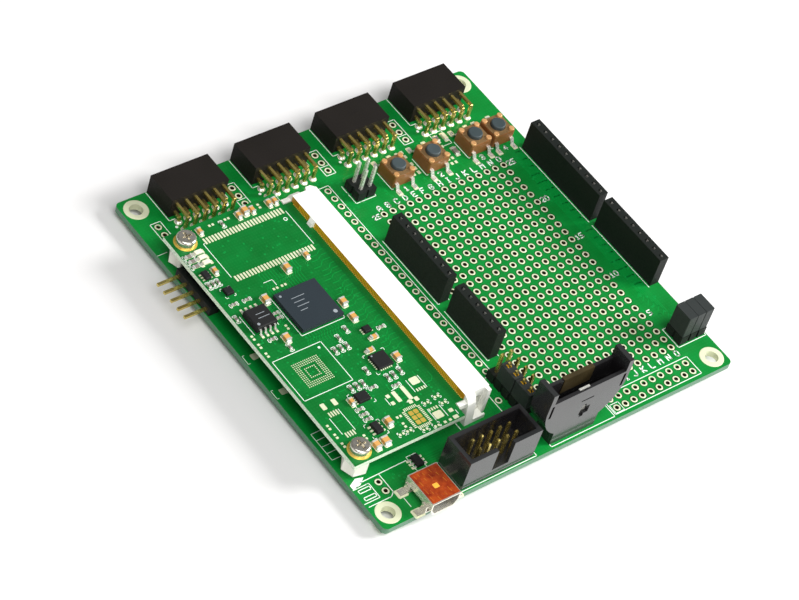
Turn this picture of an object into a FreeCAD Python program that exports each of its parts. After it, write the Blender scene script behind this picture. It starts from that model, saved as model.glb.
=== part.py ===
import FreeCAD, Part
import Sketcher
import math
import os
import re

# A microcontroller development board: a 100 mm carrier board with a plug-in computer
# module, four right-angle peripheral sockets, shield headers, a prototyping field,
# four push switches, a programming header, a USB receptacle and a coin-cell holder.
#
# Frame: millimetres, +Z up. The origin is the centre of the four mounting holes, on the
# carrier board's upper face. +X runs along the USB edge and +Y towards the socket edge.

DIMENSIONS = {
    # carrier board and its hole field
    "pitch": 2.54, "board_side": 100.0, "board_thick": 1.6, "board_corner": 1.25,
    "mount_spacing": 93.0, "mount_hole": 3.2, "drill": 1.02,
    "field_columns": 15, "field_rows": 25, "field_left": 4.13, "field_front": -39.98,
    "strip_left": 16.83, "strip_front": -47.6, "strip_pins": 10,
    "row_left": -3.52, "row_front": -26.12, "row_pins": 24,
    # square header pins
    "pin_side": 0.64, "tail_long": 3.0, "tail_short": 2.6, "contact_gap": 0.1,
    # plug-in module
    "module_left": -49.7, "module_front": -36.9, "module_depth": 29.8, "module_span": 70.0,
    "module_thick": 1.2, "module_gap": 5.0, "tongue_depth": 36.4, "tongue_front": -33.3,
    "tongue_back": 29.35, "key_front": 21.3, "key_back": 22.5, "module_hole": 2.7,
    "screw_left": -46.2, "screw_front": -33.7, "screw_span": 63.5, "screw_head": 4.5,
    "screw_head_tall": 1.9, "screw_shank": 2.5, "spacer_flats": 5.3, "spacer_boss": 3.9,
    "spacer_boss_tall": 0.8,
    # card-edge connector of the module
    "edge_left": -17.6, "edge_right": -11.05, "edge_front": -33.5, "edge_back": 29.6,
    "edge_tall": 7.8, "edge_contacts": 115, "edge_pitch": 0.5, "edge_wall": 0.05,
    "arm_left": -19.7, "arm_right": -15.3, "arm_deep": 2.4, "arm_tall": 6.3,
    "ledge_deep": 1.1, "flap_thick": 0.95, "flap_deep": 1.1, "bump_wide": 2.8,
    # right-angle peripheral sockets
    "socket_first": -33.67, "socket_step": 22.86, "socket_length": 15.4,
    "socket_front": 41.4, "socket_depth": 8.5, "socket_foot": 0.15, "socket_tall": 5.3,
    "socket_low": 1.5, "socket_near_row": 39.5, "socket_far_row": 36.96,
    # shield headers
    "shield_left": 0.32, "shield_right": 48.58, "shield_tall": 8.5, "shield_end": -22.44,
    "shield_hole": 0.9, "shield_hole_deep": 6.0,
    # programming header with shroud
    "debug_middle": -19.0, "debug_centre": -45.2, "debug_length": 19.9, "debug_width": 8.1,
    "debug_tall": 8.9, "debug_wall": 1.0, "debug_floor": 2.4, "debug_key": 4.5,
    "debug_pin_top": 8.5,
    # USB receptacle
    "usb_middle": -35.65, "usb_back": -42.7, "usb_depth": 8.8, "usb_width": 7.7,
    "usb_tall": 3.95, "usb_wall": 0.35, "usb_waist": 1.9, "usb_sole": 5.6, "film_thick": 0.07,
    # coin-cell holder, standing on edge
    "cell_middle": 2.6, "cell_front": -48.6, "cell_depth": 5.1, "cell_axis": 13.3,
    "cell_radius": 11.4, "cell_bore": 10.15, "cell_slot": 3.4, "cell_top": 15.7,
    "cell_wing": 19.0, "cell_foot": 12.8,
    # pin headers and their jumper caps
    "base_tall": 2.5, "pin_top": 8.6, "pair_left": 3.15, "pair_front": 29.25,
    "pair_pin_top": 9.0, "jumper_a_left": 45.5, "jumper_a_front": -38.0,
    "jumper_b_left": -2.07, "jumper_b_front": -33.6, "cap_side": 2.44, "cap_length": 4.9,
    "cap_tall": 6.2, "low_cap_tall": 4.55, "cap_lift": 0.15, "cap_roof": 0.5,
    "short_pin_top": 8.0,
    # right-angle edge header
    "side_right": -47.2, "side_middle": 20.4, "side_reach": 5.8, "side_bend": 1.5,
    # push switches
    "switch_side": 6.0, "switch_tall": 3.3, "switch_row": 29.5, "cover_thick": 0.2,
    "button_across": 3.5, "button_top": 4.4, "button_foot": 1.7, "button_travel": 0.25,
    "rivet_across": 1.35, "rivet_spread": 2.3, "rivet_tall": 0.4, "lead_wide": 0.9,
    "lead_reach": 2.3, "lead_thick": 0.2, "lead_tall": 1.5, "lead_spread": 2.25,
    # chips
    "cpu_left": -32.9, "cpu_front": 2.6, "cpu_side": 11.0, "cpu_tall": 1.35,
    "flash_left": -44.65, "flash_front": 4.3, "flash_side": 5.3, "flash_tall": 1.85,
    "flash_span": 7.9,
}

SWITCH_CENTRES = [13.7, 24.0, 36.6, 43.6]
# Unfilled footprints: the middle hole of each three-pin jumper row, along X.
JUMPER_ROWS = [-23.1, 0.35, 23.15]
JUMPER_ROW_MIDDLE = 40.05
PAIR_ROWS = [(-44.95, 38.85), (-43.5, -40.45)]
LONE_HOLE = (-6.1, -33.8)

# Small parts on the module: centre x, centre y, size along X, size along Y, height.
CERAMICS = [
    (-41.8, 30.7, 0.9, 1.7, 0.9), (-31.2, 30.9, 0.9, 1.7, 0.9), (-29.3, 31.3, 1.3, 2.0, 1.2),
    (-27.5, 30.9, 0.9, 1.7, 0.9), (-22.9, 30.9, 0.9, 1.7, 0.9), (-21.3, 30.9, 0.9, 1.7, 0.9),
    (-45.4, 19.9, 0.9, 1.7, 0.9), (-40.2, 8.3, 1.3, 2.0, 1.2), (-30.6, 13.6, 1.3, 2.0, 1.2),
    (-24.3, 14.9, 0.9, 1.7, 0.8), (-25.1, 0.2, 1.3, 1.9, 1.1), (-25.6, -4.2, 1.3, 1.9, 0.9),
    (-42.4, -2.5, 1.3, 1.9, 1.1), (-27.9, -13.3, 1.7, 0.9, 0.8), (-23.7, -17.4, 1.3, 1.9, 1.0),
    (-40.2, -22.9, 0.9, 1.7, 0.9), (-36.4, -30.9, 1.3, 2.0, 1.2), (-42.4, -34.7, 1.3, 2.0, 1.1),
    (-39.9, -34.6, 1.6, 2.0, 0.9), (-24.9, -10.7, 1.7, 0.9, 0.8),
]
RESISTORS = [
    (-35.8, 30.5, 0.5, 1.0), (-48.1, 25.9, 1.6, 0.8), (-48.1, 24.4, 1.6, 0.8),
    (-48.1, 22.9, 1.6, 0.8), (-48.8, 17.1, 0.5, 1.0), (-47.6, 17.1, 0.5, 1.0),
    (-46.4, 17.1, 0.5, 1.0), (-47.0, 10.4, 1.0, 0.5), (-43.6, 10.3, 1.0, 0.5),
    (-48.9, 6.8, 0.5, 1.0), (-40.3, 4.4, 1.0, 0.5), (-40.3, 3.1, 1.0, 0.5),
    (-45.1, -1.2, 1.0, 0.5), (-43.0, -4.7, 0.5, 1.0), (-29.0, -6.1, 0.5, 1.0),
    (-31.9, -7.4, 0.5, 1.0), (-34.7, -9.9, 0.5, 1.0), (-33.1, -9.9, 0.5, 1.0),
    (-31.5, -9.9, 0.5, 1.0), (-21.5, -9.0, 1.0, 0.5), (-31.9, -17.4, 0.5, 1.0),
    (-37.9, -19.9, 0.5, 1.0), (-36.3, -19.9, 0.5, 1.0), (-34.7, -19.9, 0.5, 1.0),
    (-28.8, -21.0, 0.5, 1.0), (-27.2, -21.0, 0.5, 1.0), (-25.2, -20.7, 0.5, 1.0),
    (-33.4, -21.7, 1.0, 0.5), (-28.4, -23.5, 1.0, 0.5), (-39.6, -25.2, 1.0, 0.5),
    (-39.6, -26.7, 1.0, 0.5), (-39.6, -28.1, 1.0, 0.5),
]
RESISTOR_TALL = 0.4
# Small chips on the module: centre x, centre y, size along X, size along Y, height.
SMALL_CHIPS = [
    (-47.9, 19.7, 1.4, 2.2, 0.9), (-46.1, 13.9, 1.9, 1.9, 0.9), (-25.1, -8.3, 1.8, 1.6, 0.9),
    (-27.5, -16.6, 4.0, 4.0, 0.8), (-37.4, -22.9, 3.0, 2.4, 0.9), (-39.6, -31.0, 1.7, 2.8, 1.0),
]
LIGHT_BODIES = [(-45.5, 26.0), (-45.5, 24.45), (-45.5, 22.9)]
# On the carrier board: the surge protector behind the USB receptacle, and two resistors.
GUARD = (-32.9, -38.8)
CARRIER_RESISTORS = [(29.9, 34.3, 0.8, 1.6), (31.6, 29.4, 1.2, 2.0)]

doc = FreeCAD.newDocument("DevelopmentBoard")
sheet = doc.addObject("Spreadsheet::Sheet", "Dimensions")
for row_number, (name, value) in enumerate(DIMENSIONS.items(), start=1):
    sheet.set("A%d" % row_number, name)
    sheet.set("B%d" % row_number, str(value))
    sheet.setAlias("B%d" % row_number, name)
doc.recompute()

nodes = []


def dim(name):
    """The value of one driving dimension, as the sheet holds it."""
    return float(sheet.get(name))


def bind(target, prop, text):
    """Bind a property to an expression whose words are aliases of the sheet."""
    target.setExpression(prop, re.sub(r"[a-z]\w+", lambda word: "Dimensions." + word.group(), text))


def keep(target, label):
    """Name a finished sub-part and put it on the list that is written out."""
    target.Label = label
    nodes.append(target)
    return target


def block(length, width, height, corner):
    """A Part::Box bound to the sheet; corner is its lowest corner, as three expressions."""
    made = doc.addObject("Part::Box", "Block")
    bind(made, "Length", length)
    bind(made, "Width", width)
    bind(made, "Height", height)
    for axis, text in zip("xyz", corner):
        bind(made, "Placement.Base." + axis, text)
    return made


def cut(base, tool):
    made = doc.addObject("Part::Cut", "Cut")
    made.Base = base
    made.Tool = tool
    return made


def fuse(pieces):
    made = doc.addObject("Part::MultiFuse", "Fuse")
    made.Shapes = pieces
    made.Refine = True
    return made


def feature(shape, name="Shape"):
    """A Part::Feature holding a computed shape, for groups and formed metal."""
    made = doc.addObject("Part::Feature", name)
    made.Shape = shape
    made.Placement = FreeCAD.Placement()
    return made


def cuboid(x_low, x_high, y_low, y_high, z_low, z_high):
    corner = FreeCAD.Vector(x_low, y_low, z_low)
    return Part.makeBox(x_high - x_low, y_high - y_low, z_high - z_low, corner)


def centred(x, y, size_x, size_y, z_low, z_high):
    return cuboid(x - size_x / 2, x + size_x / 2, y - size_y / 2, y + size_y / 2, z_low, z_high)


def prism(points, direction):
    """A polygon given as three-dimensional points, extruded along a vector."""
    outline = Part.makePolygon([FreeCAD.Vector(*p) for p in points + points[:1]])
    return Part.Face(outline).extrude(FreeCAD.Vector(*direction))


def places(count, centre=0.0, step=None):
    """Evenly spaced positions about a centre."""
    step = dim("pitch") if step is None else step
    return [centre + (i - (count - 1) / 2) * step for i in range(count)]


def straight_pin(x, y, top, tail):
    """A square pin with pyramid-shaped tips."""
    half = dim("pin_side") / 2
    tip = 0.35
    shaft = cuboid(x - half, x + half, y - half, y + half, -tail + tip, top - tip)
    ends = []
    for z_wide, z_narrow in ((top - tip, top), (-tail + tip, -tail)):
        rings = []
        for z, reach in ((z_wide, half), (z_narrow, half * 0.45)):
            corners = [(x - reach, y - reach, z), (x + reach, y - reach, z),
                       (x + reach, y + reach, z), (x - reach, y + reach, z)]
            rings.append(Part.makePolygon([FreeCAD.Vector(*c) for c in corners + corners[:1]]))
        ends.append(Part.makeLoft(rings, True, True))
    return shaft.fuse(ends).removeSplitter()


# ---------------------------------------------------------------- PartDesign helpers

def plane(body, role):
    return next(f for f in body.Origin.OriginFeatures if f.Role == role)


def sketch_on(body, role, lift="0"):
    """A sketch on one of the body's own origin planes, lifted along its normal."""
    made = body.newObject("Sketcher::SketchObject", "Sketch")
    made.AttachmentSupport = [(plane(body, role), "")]
    made.MapMode = "FlatFace"
    if lift != "0":
        bind(made, "AttachmentOffset.Base.z", lift)
    return made


def outline(sketch, points):
    """A closed run of straight lines."""
    count = len(points)
    for i in range(count):
        start = FreeCAD.Vector(*points[i], 0)
        end = FreeCAD.Vector(*points[(i + 1) % count], 0)
        sketch.addGeometry(Part.LineSegment(start, end), False)
    first = sketch.GeometryCount - count
    for i in range(count):
        follower = first + (i + 1) % count
        sketch.addConstraint(Sketcher.Constraint("Coincident", first + i, 2, follower, 1))


def rectangle(sketch, width, depth, left, front):
    """A rectangle whose size and place are bound to the sheet."""
    outline(sketch, [(0, 0), (10, 0), (10, 10), (0, 10)])
    for line, kind in ((0, "Horizontal"), (1, "Vertical"), (2, "Horizontal"), (3, "Vertical")):
        sketch.addConstraint(Sketcher.Constraint(kind, line))
    driven = (("DistanceX", (0, 1, 0, 2), 10, width), ("DistanceY", (1, 1, 1, 2), 10, depth),
              ("DistanceX", (-1, 1, 0, 1), 1, left), ("DistanceY", (-1, 1, 0, 1), 1, front))
    for kind, geometry, start, text in driven:
        number = sketch.addConstraint(Sketcher.Constraint(kind, *geometry, start))
        bind(sketch, "Constraints[%d]" % number, text)


def circles(sketch, centres, radius):
    for x, y in centres:
        shape = Part.Circle(FreeCAD.Vector(x, y, 0), FreeCAD.Vector(0, 0, 1), radius)
        sketch.addGeometry(shape, False)


def squares(sketch, centres, side):
    half = side / 2
    for x, y in centres:
        outline(sketch, [(x - half, y - half), (x + half, y - half),
                         (x + half, y + half), (x - half, y + half)])


def pad(body, sketch, length, downward=False):
    made = body.newObject("PartDesign::Pad", "Pad")
    made.Profile = sketch
    bind(made, "Length", length)
    made.Reversed = downward
    return made


def pocket(body, sketch, length):
    made = body.newObject("PartDesign::Pocket", "Pocket")
    made.Profile = sketch
    bind(made, "Length", length)
    return made


def new_body():
    return doc.addObject("PartDesign::Body", "Body")


# ---------------------------------------------------------------- where the pins go

def grid(columns, rows, left, front):
    """Positions of a pin grid from its front left pin."""
    step = dim("pitch")
    return [(left + c * step, front + r * step) for r in range(rows) for c in range(columns)]


def grid_about(columns, rows, middle, centre):
    step = dim("pitch")
    return grid(columns, rows, middle - (columns - 1) * step / 2, centre - (rows - 1) * step / 2)


def socket_middles():
    return [dim("socket_first") + i * dim("socket_step") for i in range(4)]


def shield_groups():
    """Label, pin count, x and front pin y of the four shield headers."""
    end = dim("shield_end")
    step = dim("pitch")
    right_gap = 4.06
    return [
        ("shield_header_10_pin", 10, dim("shield_right"), end + 7 * step + right_gap),
        ("shield_header_8_pin_right", 8, dim("shield_right"), end),
        ("shield_header_8_pin_left", 8, dim("shield_left"), end + 7 * step),
        ("shield_header_6_pin", 6, dim("shield_left"), end),
    ]


def shield_pins():
    pins = []
    for _, count, x, front in shield_groups():
        pins += grid(1, count, x, front)
    return pins


def socket_pins():
    pins = []
    for middle in socket_middles():
        for row in (dim("socket_near_row"), dim("socket_far_row")):
            pins += [(x, row) for x in places(6, middle)]
    return pins


def debug_pins():
    return grid_about(5, 2, dim("debug_middle"), dim("debug_centre"))


def cap_pins_a():
    return grid_about(3, 2, dim("jumper_a_left"), dim("jumper_a_front"))


def cap_pins_b():
    return grid_about(2, 5, dim("jumper_b_left"), dim("jumper_b_front"))


def pair_pins():
    return grid_about(2, 2, dim("pair_left"), dim("pair_front"))


def side_pins():
    bend = dim("side_right") + dim("side_bend")
    return [(bend, y) for y in places(5, dim("side_middle"))]


def cell_pins():
    middle = dim("cell_middle")
    row = dim("cell_front") + dim("cell_depth") / 2
    return [(middle - 3.81, row - 1.27), (middle + 3.81, row - 1.27), (middle, row + 1.27)]


def spare_holes():
    """Plated holes with nothing in them."""
    holes = grid(15, 25, dim("field_left"), dim("field_front"))
    holes += grid(10, 2, dim("strip_left"), dim("strip_front"))
    holes += grid(1, 24, dim("row_left"), dim("row_front"))
    for x in JUMPER_ROWS:
        holes += [(x, y) for y in places(3, JUMPER_ROW_MIDDLE)]
    for x, middle in PAIR_ROWS:
        holes += [(x, y) for y in places(2, middle)]
    return holes + [LONE_HOLE]


# ---------------------------------------------------------------- boards

def build_carrier_board():
    body = new_body()
    outer = sketch_on(body, "XY_Plane")
    rectangle(outer, "board_side", "board_side", "-board_side / 2", "-board_side / 2")
    slab = pad(body, outer, "board_thick", downward=True)
    doc.recompute()
    rounded = body.newObject("PartDesign::Fillet", "Corners")
    upright = [i for i, e in enumerate(slab.Shape.Edges, start=1)
               if abs(e.Vertexes[0].Z - e.Vertexes[1].Z) > 1]
    rounded.Base = (slab, ["Edge%d" % i for i in upright])
    bind(rounded, "Radius", "board_corner")
    corner = dim("mount_spacing") / 2
    mounts = sketch_on(body, "XY_Plane")
    corners = [(x, y) for x in (-corner, corner) for y in (-corner, corner)]
    circles(mounts, corners, dim("mount_hole") / 2)
    pocket(body, mounts, "board_thick + 1")
    drilled = sketch_on(body, "XY_Plane")
    pins = shield_pins() + socket_pins() + debug_pins() + cap_pins_a() + cap_pins_b()
    pins += pair_pins() + side_pins() + cell_pins() + spare_holes()
    circles(drilled, pins, dim("drill") / 2)
    body.Tip = pocket(body, drilled, "board_thick + 1")
    keep(body, "carrier_board")


def build_module_board():
    body = new_body()
    left, front = dim("module_left"), dim("module_front")
    shoulder, back = left + dim("module_depth"), front + dim("module_span")
    tip = left + dim("tongue_depth")
    low, high = dim("tongue_front"), dim("tongue_back")
    notch = shoulder + 2.0
    key_low, key_high = dim("key_front"), dim("key_back")
    shape = sketch_on(body, "XY_Plane", "module_gap")
    outline(shape, [(left, front), (shoulder, front), (shoulder, low), (tip, low), (tip, key_low),
                    (notch, key_low), (notch, key_high), (tip, key_high), (tip, high),
                    (shoulder, high), (shoulder, back), (left, back)])
    pad(body, shape, "module_thick")
    holes = sketch_on(body, "XY_Plane", "module_gap + module_thick")
    screws = [(dim("screw_left"), dim("screw_front") + i * dim("screw_span")) for i in (0, 1)]
    circles(holes, screws, dim("module_hole") / 2)
    body.Tip = pocket(body, holes, "module_thick + 1")
    keep(body, "module_board")


def build_module_connector():
    left, right = dim("edge_left"), dim("edge_right")
    front, back, top = dim("edge_front"), dim("edge_back"), dim("edge_tall")
    wall, gap = dim("edge_wall"), dim("module_gap")
    arm_right, inner = dim("arm_right"), right - dim("flap_thick")
    main = block("edge_right - edge_left", "edge_back - edge_front", "edge_tall",
                 ("edge_left", "edge_front", "0"))
    ends = []
    for face, reach in ((front, -1), (back, 1)):
        deep = dim("arm_deep") * reach
        ledge = sorted((face, face + dim("ledge_deep") * reach))
        ends.append(cuboid(dim("arm_left"), arm_right, *ledge, 4.9, dim("arm_tall")))
        leg = [(left, face, 0), (left, face, top), (left, face + 0.35 * deep, 0.93 * top),
               (left, face + 0.62 * deep, 0.76 * top), (left, face + deep, 0)]
        ends.append(prism(leg, (arm_right - left, 0, 0)))
        foot = sorted((face, face + deep))
        ends.append(cuboid(arm_right, inner, *foot, 0, 0.4))
        bar = sorted((face + deep - 0.5 * reach, face + deep))
        ends.append(cuboid(arm_right, inner, *bar, 0, 1.1))
    ends.append(cuboid(inner, right, front - dim("flap_deep"), front, 0, top - 0.4))
    bump, rise = right - dim("bump_wide"), back + 0.9
    outline = [(bump, back, 0), (bump + 0.5, rise, 0), (right - 1.0, rise, 0), (right - 0.2, back, 0)]
    ends.append(prism(outline, (0, 0, top)))
    rib = cuboid(left - 0.2, left + 4.4, dim("key_front") + 0.15, dim("key_back") - 0.15,
                 gap - 0.2, gap + dim("module_thick") + 0.2)
    slot_tip = dim("module_left") + dim("tongue_depth") + wall
    slot = cuboid(left - 1, slot_tip, dim("tongue_front") - wall, dim("tongue_back") + wall,
                  gap - wall, gap + dim("module_thick") + wall)
    pockets = [cuboid(arm_right + 0.2, right - 1.3, front - 0.1, front + 2.2, 1.3, 5.4),
               cuboid(arm_right + 0.2, right - 1.3, back - 2.2, back + 0.1, 1.3, 5.4)]
    base = fuse([main] + [feature(shape, "End") for shape in ends])
    hollow = cut(base, feature(Part.makeCompound([slot] + pockets), "Slot"))
    keep(fuse([hollow, feature(rib, "Key")]), "module_connector")


def build_edge_contacts():
    """Gull-wing tails on both sides and the beams that show above the card slot."""
    left, right = dim("edge_left"), dim("edge_right")
    middle = (dim("edge_front") + dim("edge_back")) / 2
    slot_top = dim("module_gap") + dim("module_thick") + dim("edge_wall")
    solids = []
    for y in places(int(dim("edge_contacts")), middle, dim("edge_pitch")):
        solids.append(centred(left - 0.55, y, 1.1, 0.22, 0.0, 0.15))
        solids.append(centred(right + 0.55, y, 1.1, 0.22, 0.0, 0.15))
        if not dim("key_front") - 0.2 < y < dim("key_back") + 0.2:
            solids.append(centred(left - 0.03, y, 0.06, 0.3, slot_top + 0.1, dim("edge_tall") - 0.25))
    keep(feature(Part.makeCompound(solids), "Contacts"), "module_connector_contacts")


def hexagon(x, y, flats, z_low, z_high, turn=0.0):
    radius = flats / math.sqrt(3)
    corners = []
    for i in range(6):
        angle = math.radians(60 * i + turn)
        corners.append((x + radius * math.cos(angle), y + radius * math.sin(angle), z_low))
    return prism(corners, (0, 0, z_high - z_low))


def screw_places():
    return [(dim("screw_left"), dim("screw_front") + i * dim("screw_span")) for i in (0, 1)]


def build_spacers():
    """Two hexagonal plastic spacers, each standing on a narrower round boss."""
    solids = []
    low, gap = dim("spacer_boss_tall"), dim("module_gap")
    for x, y in screw_places():
        body = hexagon(x, y, dim("spacer_flats"), low, gap, 50)
        boss = Part.makeCylinder(dim("spacer_boss") / 2, low + 0.2, FreeCAD.Vector(x, y, 0))
        bore = Part.makeCylinder(dim("screw_shank") / 2, 4.2, FreeCAD.Vector(x, y, 1.0))
        solids.append(body.fuse(boss).cut(bore).removeSplitter())
    keep(feature(Part.makeCompound(solids), "Spacers"), "module_spacers")


def build_screws():
    """Two pan-head cross-recess screws."""
    solids = []
    under = dim("module_gap") + dim("module_thick")
    tall, radius = dim("screw_head_tall"), dim("screw_head") / 2
    for x, y in screw_places():
        head = Part.makeCylinder(radius, tall, FreeCAD.Vector(x, y, under))
        rim = [e for e in head.Edges if abs(e.BoundBox.ZMin - under - tall) < 1e-6]
        head = head.makeFillet(0.6, [e for e in rim if e.Closed])
        shank = Part.makeCylinder(dim("screw_shank") / 2, under - 1.4, FreeCAD.Vector(x, y, 1.4))
        slot = centred(x, y, 2.5, 0.6, under + tall - 1.0, under + tall + 1)
        across = centred(x, y, 0.6, 2.5, under + tall - 1.0, under + tall + 1)
        solids.append(head.fuse(shank).cut(slot.fuse(across)).removeSplitter())
    keep(feature(Part.makeCompound(solids), "Screws"), "module_screws")


# ---------------------------------------------------------------- connectors

def build_sockets():
    low, step = dim("socket_low"), dim("pitch")
    back = dim("socket_front") + dim("socket_depth")
    for number, middle in enumerate(socket_middles(), start=1):
        shell = block("socket_length", "socket_depth", "socket_tall",
                      ("socket_first + %d * socket_step - socket_length / 2" % (number - 1),
                       "socket_front", "socket_foot"))
        holes = []
        half = dim("pin_side") / 2
        for x in places(6, middle):
            for z in (low, low + step):
                mouth = cuboid(x - 0.45, x + 0.45, back - 6.5, back + 1, z - 0.45, z + 0.45)
                throat = cuboid(x - half, x + half, dim("socket_front") - 1, back - 6, z - half, z + half)
                holes.append(mouth.fuse(throat))
        keep(cut(shell, feature(Part.makeCompound(holes), "Holes")), "peripheral_socket_%d" % number)


def bent_pin(x, row, z, inner, tail):
    """A pin that leaves a housing level and bends down through the board."""
    half = dim("pin_side") / 2
    level = cuboid(x - half, x + half, row - half, inner, z - half, z + half)
    drop = cuboid(x - half, x + half, row - half, row + half, -tail, z + half)
    pin = level.fuse(drop).removeSplitter()
    bend = [e for e in pin.Edges
            if abs(e.CenterOfMass.y - row + half) < 1e-4 and abs(e.CenterOfMass.z - z - half) < 1e-4]
    return pin.makeFillet(0.45, bend)


def build_socket_pins():
    solids = []
    inner = dim("socket_front") + 2.3
    for middle in socket_middles():
        for x in places(6, middle):
            solids.append(bent_pin(x, dim("socket_near_row"), dim("socket_low"), inner, dim("tail_long")))
            high = dim("socket_low") + dim("pitch")
            solids.append(bent_pin(x, dim("socket_far_row"), high, inner, dim("tail_long")))
    keep(feature(Part.makeCompound(solids), "Pins"), "peripheral_socket_pins")


def build_shield_headers():
    for label, count, x, front in shield_groups():
        body = new_body()
        base = sketch_on(body, "XY_Plane")
        edge = "shield_right" if x > 20 else "shield_left"
        place = "%.4f - pitch / 2" % front
        rectangle(base, "pitch", "pitch * %d" % count, edge + " - pitch / 2", place)
        pad(body, base, "shield_tall")
        centres = grid(1, count, x, front)
        mouths = sketch_on(body, "XY_Plane", "shield_tall")
        squares(mouths, centres, dim("shield_hole"))
        pocket(body, mouths, "shield_hole_deep")
        throats = sketch_on(body, "XY_Plane", "shield_tall")
        squares(throats, centres, dim("pin_side"))
        body.Tip = pocket(body, throats, "shield_tall + 1")
        keep(body, label)


def build_shield_contacts():
    """One blade for each header position, from inside the housing to below the board."""
    half = dim("pin_side") / 2
    floor = dim("shield_tall") - dim("shield_hole_deep")
    top = floor + 3.2
    solids = []
    for x, y in shield_pins():
        tail = straight_pin(x, y, floor + 0.8, dim("tail_long"))
        spring = cuboid(x - 0.42, x - 0.22, y - half, y + half, floor, top)
        solids.append(tail.fuse(spring).removeSplitter())
    keep(feature(Part.makeCompound(solids), "Contacts"), "shield_header_contacts")


def build_debug_header():
    shell = block("debug_length", "debug_width", "debug_tall",
                  ("debug_middle - debug_length / 2", "debug_centre - debug_width / 2", "0"))
    cavity = block("debug_length - 2 * debug_wall", "debug_width - 2 * debug_wall", "debug_tall",
                   ("debug_middle - debug_length / 2 + debug_wall",
                    "debug_centre - debug_width / 2 + debug_wall", "debug_floor"))
    key = block("debug_key", "debug_wall + 1", "debug_tall",
                ("debug_middle - debug_key / 2", "debug_centre - debug_width / 2 - 0.5",
                 "debug_floor"))
    side = dim("pin_side")
    pins = [centred(x, y, side, side, -1, 5) for x, y in debug_pins()]
    keep(cut(cut(cut(shell, cavity), key), feature(Part.makeCompound(pins), "Holes")),
         "debug_header_shroud")
    solids = [straight_pin(x, y, dim("debug_pin_top"), dim("tail_long")) for x, y in debug_pins()]
    keep(feature(Part.makeCompound(solids), "Pins"), "debug_header_pins")


def usb_profile(inset, y):
    """The receptacle's six-sided outline at one depth, drawn in by an inset."""
    half, sole = dim("usb_width") / 2 - inset, dim("usb_sole") / 2 - inset * 0.7
    middle, top, waist = dim("usb_middle"), dim("usb_tall") - inset, dim("usb_waist")
    low = 0.05 + inset
    return [(middle - half, y, top), (middle - half, y, waist), (middle - sole, y, low),
            (middle + sole, y, low), (middle + half, y, waist), (middle + half, y, top)]


def build_usb():
    wall, back, depth = dim("usb_wall"), dim("usb_back"), dim("usb_depth")
    middle, half = dim("usb_middle"), dim("usb_width") / 2
    outer = prism(usb_profile(0, back), (0, -depth, 0))
    inner = prism(usb_profile(wall, back - wall), (0, -depth, 0))
    shell = outer.cut(inner)
    for side in (-1, 1):
        for y in (back - 1.1, back - 6.9):
            tab = sorted((middle + side * (half - 1.3), middle + side * (half + 2.2)))
            shell = shell.fuse(cuboid(*tab, y - 0.8, y + 0.8, 0.0, 0.3).cut(inner))
            riser = sorted((middle + side * (half - 0.05), middle + side * (half + 0.3)))
            shell = shell.fuse(cuboid(*riser, y - 0.8, y + 0.8, 0.0, dim("usb_waist") + 0.2))
    keep(feature(shell.removeSplitter(), "Shell"), "usb_shell")
    plug = inner.common(cuboid(-60, 0, back - 3.2, back, 0, 10))
    tongue = cuboid(middle - 2.6, middle + 2.6, back - depth + 1.2, back - 3.0, 1.75, 2.45)
    keep(feature(plug.fuse(tongue).removeSplitter(), "Tongue"), "usb_tongue")
    film = block("usb_width - 0.4", "usb_depth - 0.5", "film_thick",
                 ("usb_middle - usb_width / 2 + 0.2", "usb_back - usb_depth + 0.25", "usb_tall"))
    keep(film, "usb_cover_film")


# ---------------------------------------------------------------- coin-cell holder

def holder_outline(y):
    """The holder seen from the front: foot, round lower edge and two raised wings."""
    middle, axis, radius = dim("cell_middle"), dim("cell_axis"), dim("cell_radius")
    foot, top, wing, bore = dim("cell_foot") / 2, dim("cell_top"), dim("cell_wing"), dim("cell_bore")
    meet = axis - math.sqrt(radius ** 2 - foot ** 2)
    slant = radius * math.cos(math.radians(35))
    drop = axis - radius * math.sin(math.radians(35))

    def at(x, z):
        return FreeCAD.Vector(middle + x, y, z)

    edges = [Part.LineSegment(at(-foot, 0), at(foot, 0)), Part.LineSegment(at(foot, 0), at(foot, meet)),
             Part.Arc(at(foot, meet), at(slant, drop), at(radius, axis)),
             Part.LineSegment(at(radius, axis), at(radius, wing)),
             Part.LineSegment(at(radius, wing), at(bore, wing)),
             Part.LineSegment(at(bore, wing), at(bore, top)),
             Part.LineSegment(at(bore, top), at(-bore, top)),
             Part.LineSegment(at(-bore, top), at(-bore, wing)),
             Part.LineSegment(at(-bore, wing), at(-radius, wing)),
             Part.LineSegment(at(-radius, wing), at(-radius, axis)),
             Part.Arc(at(-radius, axis), at(-slant, drop), at(-foot, meet)),
             Part.LineSegment(at(-foot, meet), at(-foot, 0))]
    return Part.Face(Part.Wire([e.toShape() for e in edges]))


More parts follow.
